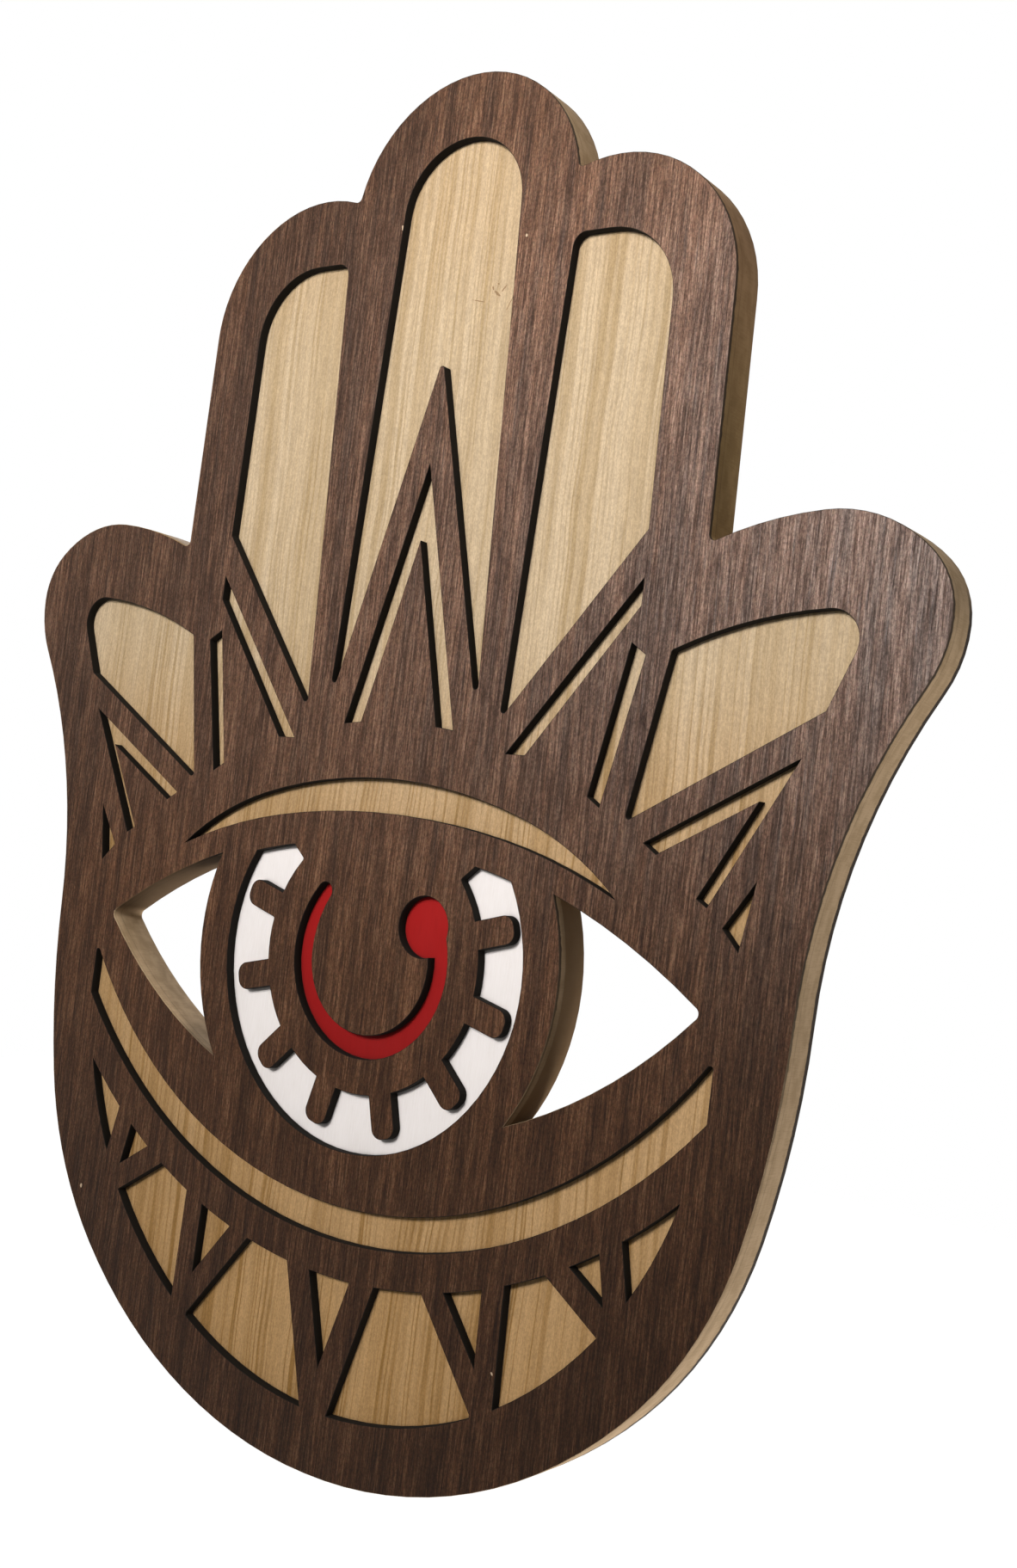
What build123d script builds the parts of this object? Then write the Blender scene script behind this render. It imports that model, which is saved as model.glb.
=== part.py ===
from build123d import *
import os
from math import atan2, cos, degrees, hypot, radians, sin

os.makedirs("parts", exist_ok=True)

# Heights and reaches of the drawing are taken from the centre of the iris.
# The row's origin is on the wall plane, behind the middle notch of the hanger.

# Outline of the hand
hand_width = 320.0
finger_rise = 256.1
palm_drop = 142.9
finger_radius = 40.0
side_finger_reach = 92.7
side_finger_rise = 225.0
side_finger_flare = 1.2
thumb_tip_rise = 100.8
crotch_radius = 1.6

# Layers, from the wall to the front
pad_thickness = 2.5
core_thickness = 8.4
veneer_thickness = 0.6
sheet_thickness = 3.0

# Eye: each lid is an arc about a centre on the axis
iris_drop = 190.0
upper_lid_radius = 186.0
upper_lid_rise = 35.2
lower_lid_radius = 143.6
lower_lid_drop = 46.7
iris_wall_radius = 65.4
iris_shift = 1.0
eye_tip_radius = 1.8

# Iris ring, with its hub and spokes
ring_radius = 53.9
hub_radius = 38.3
hub_rise = 0.9
spoke_count = 8
spoke_pitch = 30.4
spoke_width = 7.9
spoke_reach = 50.4
spoke_corner_radius = 3.2
ring_end_angle = 42.0
ring_lid_gap = 2.2
ring_corner_radius = 0.7

# Comma of the pupil
comma_radius = 27.9
comma_width = 6.6
comma_rise = 0.4
comma_end_angle = 22.0
comma_head_radius = 8.6
comma_head_reach = 18.0
comma_head_rise = 11.7
comma_tail_radius = 2.6
comma_tail_reach = 19.2
comma_tail_rise = 17.7
comma_tail_lean = 52.0

# Painted insets of the face veneer, which reach past their windows by the margin
inset_margin = 2.4
inset_clearance = 0.05

# Brow above the eye
brow_reach = 78.8
brow_rise = 51.5
brow_depth = 9.7
brow_tip_rise = 26.0

# Crescent below the eye, and the row of teeth below it
smile_drop = 68.9
smile_radius = 134.8
smile_width = 9.4
smile_corner_radius = 0.8
row_gap = 10.2
row_floor_radius = 111.6
row_floor_drop = 125.8
tooth_bar_width = 7.1
centre_bar_width = 8.2

# Windows of the fingers and the thumbs
finger_rim = 19.0
side_window_rim = 18.4
side_window_head = 20.5
side_window_corner_radius = 4.0
thumb_window_corner_radius = 7.7
window_corner_radius = 0.9

# Back of the board
hanger_length = 45.0
hanger_height = 9.5
hanger_gauge = 0.9
hanger_lift = 0.7
hanger_joggle = 2.0
hanger_tab = 7.5
hanger_corner_radius = 2.0
hanger_hole_radius = 1.4
tooth_count = 7
tooth_pitch = 3.0
tooth_depth = 1.6
tooth_flat = 0.3
screw_radius = 1.1
screw_length = 6.5
screw_point = 2.0
screw_head_radius = 2.2
screw_head_height = 0.8
screw_edge_bevel = 0.35
screw_slot_width = 0.5
screw_slot_depth = 0.4
screw_clearance = 0.05
pad_radius = 6.0
pad_spacing = 150.0
pad_drop = 70.0
pad_edge_bevel = 0.5

# Outline points as shares of the half width, and of the finger's rise or the palm's drop
crown_shares = [(0.9585, 0.4544), (0.780, 0.4934), (0.531, 0.445)]
flank_shares = [(0.971, 0.328), (0.824, 0.008), (0.781, -0.363), (0.6135, -0.708), (0, -1)]

# Reach of the crescent's ends, as a share of the half width
smile_reach_share = 0.70

# Windows and slots of the rays, right-hand side
middle_window_foot_share = (0.1691, 0.2768)
middle_ray_tip_share = 0.6758
inner_ray_shares = [(0, 0.5551), (0.1239, 0.2596), (0.0862, 0.2625), (0, 0.4681)]
side_window_shares = [(0.2552, 0), (0.2203, 0.2744), (0.4713, 0.4772)]
thumb_window_top_shares = [(0.542, 0.3544), (0.6761, 0.3849), (0.8839, 0.400)]
thumb_window_foot_shares = [(0.8186, 0.3021), (0.4901, 0.1800)]
slot_shares = [
    [(0.2423, 0.2389), (0.2808, 0.2389), (0.4744, 0.3989), (0.4741, 0.4270)],
    [(0.4152, 0.2021), (0.4400, 0.1923), (0.4938, 0.3491), (0.4654, 0.3607)],
    [(0.788, 0.2561), (0.5313, 0.1614), (0.5561, 0.1516), (0.7262, 0.2126), (0.6377, 0.1133), (0.6569, 0.1063)],
    [(0.7375, 0.1365), (0.6885, 0.0884), (0.7194, 0.0684)],
]

# Brow's points as shares of its reach and its rise
brow_upper_share = (0.594, 0.858)
brow_lower_share = (0.514, 0.740)

# Top and foot of each bar between the teeth, right-hand side
centre_bar_shares = [(0.0873, -0.5643), (0, -0.897)]
tooth_bar_shares = [
    [(0.2085, -0.5643), (0.3482, -0.768)],
    [(0.3465, -0.5266), (0.3515, -0.768)],
    [(0.4535, -0.4759), (0.5831, -0.5724)],
    [(0.5532, -0.395), (0.587, -0.5643)],
]

quarter_turn = 90.0
half_width = hand_width / 2
board_back = pad_thickness
veneer_back = board_back + core_thickness
sheet_back = veneer_back + veneer_thickness


def in_hand(share):
    """Point given as a share of the half width, and of the finger's rise or the palm's drop."""
    across, up = share
    return (across * half_width, up * (finger_rise if up > 0 else palm_drop))


def drawing_plane(stand_off):
    """Upright plane this far in front of the wall, facing the room, its origin at the iris."""
    return Plane(origin=(0, -stand_off, -iris_drop), x_dir=(1, 0, 0), z_dir=(0, -1, 0))


def tangent_arcs(start, heading, points):
    """Draw arcs through the points in turn, each one leaving along the last one's end; return the end."""
    for point in points:
        arc = TangentArc(start, point, tangent=heading)
        start = point
        heading = arc % 1
    return start


def straight_bar(top, foot, width):
    """Bar along the line from one point to the other, run past both by its width."""
    rise = top[1] - foot[1]
    run = top[0] - foot[0]
    with BuildSketch() as bar:
        with Locations(((top[0] + foot[0]) / 2, (top[1] + foot[1]) / 2)):
            Rectangle(hypot(run, rise) + 2 * width, width, rotation=degrees(atan2(rise, run)))
    return bar.sketch


# Outline of the hand, which all three sheets share
middle_finger = (0, finger_rise - finger_radius)
side_finger = (side_finger_reach - finger_radius, side_finger_rise - finger_radius)
thumb_tip = (half_width, thumb_tip_rise)

with BuildSketch() as hand_drawing:
    with Locations(middle_finger, side_finger):
        Circle(finger_radius)
    with BuildLine():
        Polyline(
            middle_finger,
            (finger_radius, middle_finger[1]),
            (finger_radius, side_finger[1]),
            (side_finger_reach, side_finger[1]),
            (side_finger_reach + side_finger_flare, thumb_tip_rise),
            (0, thumb_tip_rise),
            close=True,
        )
    make_face()
    with BuildLine():
        thumb_root = tangent_arcs(thumb_tip, (0, 1), [in_hand(share) for share in crown_shares])
        palm_foot = tangent_arcs(thumb_tip, (0, -1), [in_hand(share) for share in flank_shares])
        Polyline(palm_foot, (0, thumb_root[1]), thumb_root)
    make_face()
    mirror(about=Plane.YZ)
    for side in (-1, 1):
        for crotch in ((finger_radius, side_finger_rise), (side_finger_reach, thumb_root[1])):
            nearest = hand_drawing.vertices().sort_by_distance((side * crotch[0], crotch[1]))[0]
            fillet(nearest, crotch_radius)

# Openings on both sides of the iris, cut through every sheet
upper_lid_centre = (0, upper_lid_rise - upper_lid_radius)
lower_lid_centre = (0, lower_lid_radius - lower_lid_drop)

with BuildSketch() as eye_drawing:
    with Locations(upper_lid_centre):
        Circle(upper_lid_radius)
    with Locations(lower_lid_centre):
        Circle(lower_lid_radius, mode=Mode.INTERSECT)
    with Locations((-iris_shift, hub_rise)):
        Circle(iris_wall_radius, mode=Mode.SUBTRACT)
    by_reach = eye_drawing.vertices().sort_by(Axis.X)
    fillet([by_reach[0], by_reach[-1]], eye_tip_radius)

# Ring round the hub, open at the top, with the hub's spokes reaching into it
wedge_reach = 2 * ring_radius * cos(radians(ring_end_angle))
wedge_rise = 2 * ring_radius * sin(radians(ring_end_angle))
spoke_fan = spoke_pitch * (spoke_count - 1)

with BuildSketch() as ring_drawing:
    with Locations((-iris_shift, 0)):
        Circle(ring_radius)
    with Locations(upper_lid_centre):
        Circle(upper_lid_radius - ring_lid_gap, mode=Mode.INTERSECT)
    with Locations((0, hub_rise)):
        Circle(hub_radius, mode=Mode.SUBTRACT)
    Polygon((0, 0), (wedge_reach, wedge_rise), (-wedge_reach, wedge_rise), align=None, mode=Mode.SUBTRACT)
    fillet(ring_drawing.vertices(), ring_corner_radius)
    with Locations((0, hub_rise)):
        with PolarLocations(spoke_reach / 2, spoke_count, -quarter_turn - spoke_fan / 2, spoke_fan, endpoint=True):
            RectangleRounded(spoke_reach, spoke_width, spoke_corner_radius, mode=Mode.SUBTRACT)

# Comma of the pupil: a bent bar with a round head and a tail that leans outward
comma_bore = comma_radius - comma_width
tail_lean = (-sin(radians(comma_tail_lean)), cos(radians(comma_tail_lean)))
tail_outer = (
    -comma_tail_reach + comma_tail_radius * tail_lean[0],
    comma_tail_rise + comma_tail_radius * tail_lean[1],
)
tail_inner = (
    -comma_tail_reach - comma_tail_radius * tail_lean[0],
    comma_tail_rise - comma_tail_radius * tail_lean[1],
)
bend_reach = 2 * comma_radius * cos(radians(comma_end_angle))
bend_rise = 2 * comma_radius * sin(radians(comma_end_angle))

with BuildSketch() as comma_drawing:
    with Locations((0, comma_rise)):
        Circle(comma_radius)
        Circle(comma_bore, mode=Mode.SUBTRACT)
        Polygon(
            (0, 0), (bend_reach, bend_rise), (bend_reach, bend_reach), (-bend_reach, bend_reach), (-bend_reach, 0),
            align=None,
            mode=Mode.SUBTRACT,
        )
    with Locations((comma_head_reach, comma_head_rise)):
        Circle(comma_head_radius)
    with Locations((-comma_tail_reach, comma_tail_rise)):
        Circle(comma_tail_radius)
    with BuildLine():
        outer_edge = TangentArc((-comma_radius, comma_rise), tail_outer, tangent=(0, 1))
        inner_edge = TangentArc((-comma_bore, comma_rise), tail_inner, tangent=(0, 1))
        Line(outer_edge @ 0, inner_edge @ 0)
        Line(outer_edge @ 1, inner_edge @ 1)
    make_face()

# Brow above the eye
brow_tip = (brow_reach, brow_tip_rise)

with BuildSketch() as brow_drawing:
    with BuildLine():
        for rise, share in ((brow_rise, brow_upper_share), (brow_rise - brow_depth, brow_lower_share)):
            middle = (share[0] * brow_reach, share[1] * brow_rise)
            tangent_arcs((0, rise), (1, 0), [middle, brow_tip])
        Line((0, brow_rise), (0, brow_rise - brow_depth))
    make_face()
    mirror(about=Plane.YZ)

# Crescent below the eye
smile_centre = (0, smile_radius - smile_drop)
smile_foot = smile_drop + smile_width
smile_reach = smile_reach_share * half_width

with BuildSketch() as smile_drawing:
    with Locations(smile_centre):
        Circle(smile_radius + smile_width)
        Circle(smile_radius, mode=Mode.SUBTRACT)
    with Locations((0, -smile_foot)):
        Rectangle(2 * smile_reach, 2 * smile_foot, mode=Mode.INTERSECT)
    fillet(smile_drawing.vertices(), smile_corner_radius)

# Row of teeth below the crescent, parted by straight bars
with BuildSketch() as row_drawing:
    with Locations((0, row_floor_radius - row_floor_drop)):
        Circle(row_floor_radius)
    with Locations(smile_centre):
        Circle(smile_radius + smile_width + row_gap, mode=Mode.SUBTRACT)
    for side in (-1, 1):
        top, foot = [in_hand((side * across, up)) for across, up in centre_bar_shares]
        add(straight_bar(top, foot, centre_bar_width), mode=Mode.SUBTRACT)
        for bar_shares in tooth_bar_shares:
            top, foot = [in_hand((side * across, up)) for across, up in bar_shares]
            add(straight_bar(top, foot, tooth_bar_width), mode=Mode.SUBTRACT)

# Window of the middle finger, with a slot inside its ray
with BuildSketch() as middle_window:
    with BuildLine():
        arch = CenterArc(middle_finger, finger_radius - finger_rim, 0, quarter_turn)
        Polyline(arch @ 0, in_hand(middle_window_foot_share), in_hand((0, middle_ray_tip_share)), arch @ 1)
    make_face()
    mirror(about=Plane.YZ)
    corners = middle_window.vertices().filter_by_position(Axis.Y, 0, middle_finger[1], inclusive=(True, False))
    fillet(corners, window_corner_radius)

with BuildSketch() as inner_ray:
    half_ray = [in_hand(share) for share in inner_ray_shares]
    Polygon(*half_ray, align=None)
    mirror(about=Plane.YZ)

# Windows of a side finger and a thumb, with the slots between them
side_window_radius = finger_radius - side_window_rim
side_window_top = side_finger_rise - side_window_head
with BuildSketch() as side_windows:
    with BuildLine():
        shoulder = CenterArc(
            (side_finger[0], side_window_top - side_window_radius), side_window_radius, 0, quarter_turn
        )
        inner_top = (side_window_shares[0][0] * half_width, side_window_top)
        tip, elbow = [in_hand(share) for share in side_window_shares[1:]]
        Polyline(shoulder @ 1, inner_top, tip, elbow, shoulder @ 0)
    make_face()
    by_rise = side_windows.vertices().sort_by(Axis.Y)
    fillet(by_rise[-2:].sort_by(Axis.X)[0], side_window_corner_radius)
    fillet(side_windows.vertices().sort_by(Axis.Y)[:2], window_corner_radius)
    mirror(about=Plane.YZ)

with BuildSketch() as thumb_windows:
    with BuildLine():
        crown_start, crown_middle, crown_end = [in_hand(share) for share in thumb_window_top_shares]
        ThreePointArc(crown_start, crown_middle, crown_end)
        Polyline(crown_end, *[in_hand(share) for share in thumb_window_foot_shares], crown_start)
    make_face()
    fillet(thumb_windows.vertices().sort_by(Axis.X)[-1], thumb_window_corner_radius)
    fillet(thumb_windows.vertices().sort_by(Axis.X)[:2], window_corner_radius)
    mirror(about=Plane.YZ)

with BuildSketch() as slot_drawing:
    for shares in slot_shares:
        Polygon(*[in_hand(share) for share in shares], align=None)
    mirror(about=Plane.YZ)

# Core board, with blind holes for the hanger's screws
screw_reach = hanger_length / 2 - hanger_tab / 2
screw_rise = hanger_height / 2 - tooth_depth
tab_face = pad_thickness - hanger_gauge
screw_spots = [(-screw_reach, screw_rise), (screw_reach, screw_rise)]

with BuildPart() as core_board:
    with BuildSketch(drawing_plane(board_back)):
        add(hand_drawing.sketch)
        add(eye_drawing.sketch, mode=Mode.SUBTRACT)
    extrude(amount=core_thickness)
    with BuildSketch(Plane.XZ.offset(board_back)):
        with Locations(*screw_spots):
            Circle(screw_radius + screw_clearance)
    extrude(amount=screw_length - hanger_gauge + screw_clearance, mode=Mode.SUBTRACT)
core_board.part.label = "core_board"


def inset_outline(shrink):
    """Round outline of the painted insets, cut off along the upper lid to stay clear of the brow."""
    with BuildSketch() as inset:
        with Locations((-iris_shift, 0)):
            Circle(ring_radius + inset_margin - shrink)
        with Locations(upper_lid_centre):
            Circle(upper_lid_radius + inset_margin - shrink, mode=Mode.INTERSECT)
    return inset.sketch


# Face veneer, let out for the two painted insets
pupil_radius = (comma_radius + hub_radius) / 2

with BuildPart() as face_veneer:
    with BuildSketch(drawing_plane(veneer_back)):
        add(hand_drawing.sketch)
        add(eye_drawing.sketch, mode=Mode.SUBTRACT)
        add(inset_outline(0), mode=Mode.SUBTRACT)
    extrude(amount=veneer_thickness)
face_veneer.part.label = "face_veneer"

with BuildPart() as iris_inset:
    with BuildSketch(drawing_plane(veneer_back)):
        add(inset_outline(inset_clearance))
        with Locations((0, comma_rise)):
            Circle(pupil_radius, mode=Mode.SUBTRACT)
    extrude(amount=veneer_thickness)
iris_inset.part.label = "iris_inset"

with BuildPart() as pupil_inset:
    with BuildSketch(drawing_plane(veneer_back)):
        with Locations((0, comma_rise)):
            Circle(pupil_radius - inset_clearance)
    extrude(amount=veneer_thickness)
pupil_inset.part.label = "pupil_inset"

# Front fretwork, one sheet with every window cut through it
with BuildPart() as front_fretwork:
    with BuildSketch(drawing_plane(sheet_back)):
        add(hand_drawing.sketch)
        for drawing in (
            eye_drawing,
            ring_drawing,
            comma_drawing,
            brow_drawing,
            smile_drawing,
            row_drawing,
            middle_window,
            inner_ray,
            side_windows,
            thumb_windows,
            slot_drawing,
        ):
            add(drawing.sketch, mode=Mode.SUBTRACT)
    extrude(amount=sheet_thickness)
front_fretwork.part.label = "front_fretwork"


def hanger_line(depth):
    """Plan line of the hanger strip this far from the board, left tab to right tab."""
    half_length = hanger_length / 2
    lifted_half = half_length - hanger_tab - hanger_joggle
    low = depth - pad_thickness
    high = low + hanger_lift
    right = [(lifted_half, high), (lifted_half + hanger_joggle, low), (half_length, low)]
    left = [(-across, along) for across, along in reversed(right)]
    return left + right


# Sawtooth hanger: a strip flat at its ends and lifted off the board between them
notch_side = (tooth_pitch - tooth_flat) / 2
with BuildPart() as sawtooth_hanger:
    with BuildSketch(Plane.XY.offset(-tooth_depth)):
        Polygon(*hanger_line(0), *reversed(hanger_line(hanger_gauge)), align=None)
    extrude(amount=hanger_height)
    fillet(sawtooth_hanger.edges().filter_by(Axis.Y), hanger_corner_radius)
    with BuildSketch(Plane.XZ):
        with GridLocations(tooth_pitch, tooth_pitch, tooth_count, 1):
            Polygon(
                (-notch_side, -tooth_depth),
                (notch_side, -tooth_depth),
                (tooth_flat / 2, 0),
                (-tooth_flat / 2, 0),
                align=None,
            )
        with Locations(*screw_spots):
            Circle(hanger_hole_radius)
    extrude(amount=pad_thickness, mode=Mode.SUBTRACT)
sawtooth_hanger.part.label = "sawtooth_hanger"

# Hanger screws, each turned about its own axis: a low pan head, a plain shank and a point
shank_end = tab_face + screw_length - screw_point
head_top = tab_face - screw_head_height

with BuildPart() as hanger_screws:
    for across, up in screw_spots:
        with BuildSketch(Plane(origin=(across, 0, up), x_dir=(1, 0, 0), z_dir=(0, 0, 1))):
            Polygon(
                (0, -head_top),
                (screw_head_radius - screw_edge_bevel, -head_top),
                (screw_head_radius, -head_top - screw_edge_bevel),
                (screw_head_radius, -tab_face),
                (screw_radius, -tab_face),
                (screw_radius, -shank_end),
                (0, -shank_end - screw_point),
                align=None,
            )
        revolve(axis=Axis((across, 0, up), (0, 1, 0)))
    with BuildSketch(Plane.XZ.offset(head_top)):
        with Locations(*screw_spots):
            Rectangle(2 * screw_head_radius, screw_slot_width)
    extrude(amount=screw_slot_depth, mode=Mode.SUBTRACT)
hanger_screws.part.label = "hanger_screws"

# Bumper pads
with BuildPart() as wall_bumpers:
    with BuildSketch(Plane.XZ):
        with Locations((0, -iris_drop - pad_drop)):
            with GridLocations(pad_spacing, pad_spacing, 2, 1):
                Circle(pad_radius)
    extrude(amount=pad_thickness)
    chamfer(wall_bumpers.edges().group_by(Axis.Y)[-1], pad_edge_bevel)
wall_bumpers.part.label = "wall_bumpers"

export_step(front_fretwork.part, "parts/front_fretwork.step")
export_step(face_veneer.part, "parts/face_veneer.step")
export_step(core_board.part, "parts/core_board.step")
export_step(iris_inset.part, "parts/iris_inset.step")
export_step(pupil_inset.part, "parts/pupil_inset.step")
export_step(sawtooth_hanger.part, "parts/sawtooth_hanger.step")
export_step(hanger_screws.part, "parts/hanger_screws.step")
export_step(wall_bumpers.part, "parts/wall_bumpers.step")
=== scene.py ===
"""Looks of the hamsa hand ornament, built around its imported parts.

Lengths are in metres, in the parts' own frame: X to the right, Z up, and the wall at Y = 0.
Flat drawings are arrays of X and Z, as the ornament is seen from the front.
"""

import logging
from dataclasses import dataclass, field
from enum import Enum
from math import radians

import bmesh
import bpy
import numpy as np
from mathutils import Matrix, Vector
from mathutils.geometry import delaunay_2d_cdt


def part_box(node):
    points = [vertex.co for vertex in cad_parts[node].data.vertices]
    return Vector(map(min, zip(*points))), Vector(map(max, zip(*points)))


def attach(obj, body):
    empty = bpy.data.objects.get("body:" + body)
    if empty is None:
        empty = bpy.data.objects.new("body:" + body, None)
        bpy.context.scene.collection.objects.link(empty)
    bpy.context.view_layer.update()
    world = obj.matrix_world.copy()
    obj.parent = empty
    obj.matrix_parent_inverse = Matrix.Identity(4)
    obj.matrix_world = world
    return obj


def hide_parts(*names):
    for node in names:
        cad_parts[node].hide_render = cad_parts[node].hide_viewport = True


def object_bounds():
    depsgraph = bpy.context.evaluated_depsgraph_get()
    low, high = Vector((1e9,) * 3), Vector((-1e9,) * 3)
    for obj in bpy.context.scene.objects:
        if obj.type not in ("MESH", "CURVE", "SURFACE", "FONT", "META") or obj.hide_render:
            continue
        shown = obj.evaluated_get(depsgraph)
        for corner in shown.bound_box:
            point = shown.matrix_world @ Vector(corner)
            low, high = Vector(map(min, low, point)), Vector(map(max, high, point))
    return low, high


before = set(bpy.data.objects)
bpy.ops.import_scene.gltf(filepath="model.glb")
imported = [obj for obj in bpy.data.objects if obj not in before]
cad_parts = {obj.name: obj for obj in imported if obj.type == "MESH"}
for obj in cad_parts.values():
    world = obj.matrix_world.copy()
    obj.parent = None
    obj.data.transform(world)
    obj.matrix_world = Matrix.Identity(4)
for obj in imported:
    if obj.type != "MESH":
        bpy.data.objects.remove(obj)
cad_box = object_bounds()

Array = np.ndarray
Colour = tuple[float, float, float]
Triple = tuple[float, float, float]
Socket = bpy.types.NodeSocket
Node = bpy.types.Node
Tree = bpy.types.NodeTree
Material = bpy.types.Material
Piece = bpy.types.Object
Feed = object

MM = 0.001
BODY = "root"
MERGE_DISTANCE = 0.001 * MM
PAIRS_AT_ONCE = 3_000_000
SMOOTH_ANGLE = radians(35)
FLAT_ANGLE = radians(1)
WHITE = (1.0, 1.0, 1.0)
LEAST_MITRE = 0.3
STRAY_SHARE = 0.1
CLOSE_SHARE = 0.4

log = logging.getLogger("hamsa_hand")


class Finish(Enum):
    """Finish of each face of a cut sheet, by its place in the piece's list of materials."""

    FACE = 0
    EDGE = 1


class Kept(Enum):
    """Values kept at the vertices, which the finishes read by name."""

    EDGE_DISTANCE = "edge_distance"
    WINDOW_DISTANCE = "window_distance"
    OPEN_EDGE = "open_edge"


def placed(name: str, data: bpy.types.ID) -> Piece:
    """Put a mesh, a lamp or a camera in the scene.

    Args:
        name: Name of the object.
        data: What it shows.

    Returns:
        The object.
    """
    thing = bpy.data.objects.new(name, data)
    bpy.context.scene.collection.objects.link(thing)
    return thing


def merged(node: Piece) -> tuple[Array, Array]:
    """Read a node's triangles with the corners that lie in one place made one.

    Args:
        node: A node of the frame.

    Returns:
        The corners and the triangles, one row each.
    """
    mesh = node.data
    corners = np.empty(3 * len(mesh.vertices), np.float32)
    mesh.vertices.foreach_get("co", corners)
    corners = corners.reshape(-1, 3).astype(float)
    mesh.calc_loop_triangles()
    triangles = np.empty(3 * len(mesh.loop_triangles), np.int32)
    mesh.loop_triangles.foreach_get("vertices", triangles)
    cells = np.round(corners / MERGE_DISTANCE)
    _, first, place = np.unique(cells, axis=0, return_index=True, return_inverse=True)
    triangles = place.ravel()[triangles].reshape(-1, 3)
    whole = (triangles != np.roll(triangles, 1, axis=1)).all(axis=1)
    return corners[first], triangles[whole]


def turns(flat: Array, triangles: Array) -> Array:
    """Return twice the area of each triangle, positive where it turns to the left."""
    first, second, third = (flat[triangles[:, k]] for k in range(3))
    return np.cross(second - first, third - first)


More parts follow.
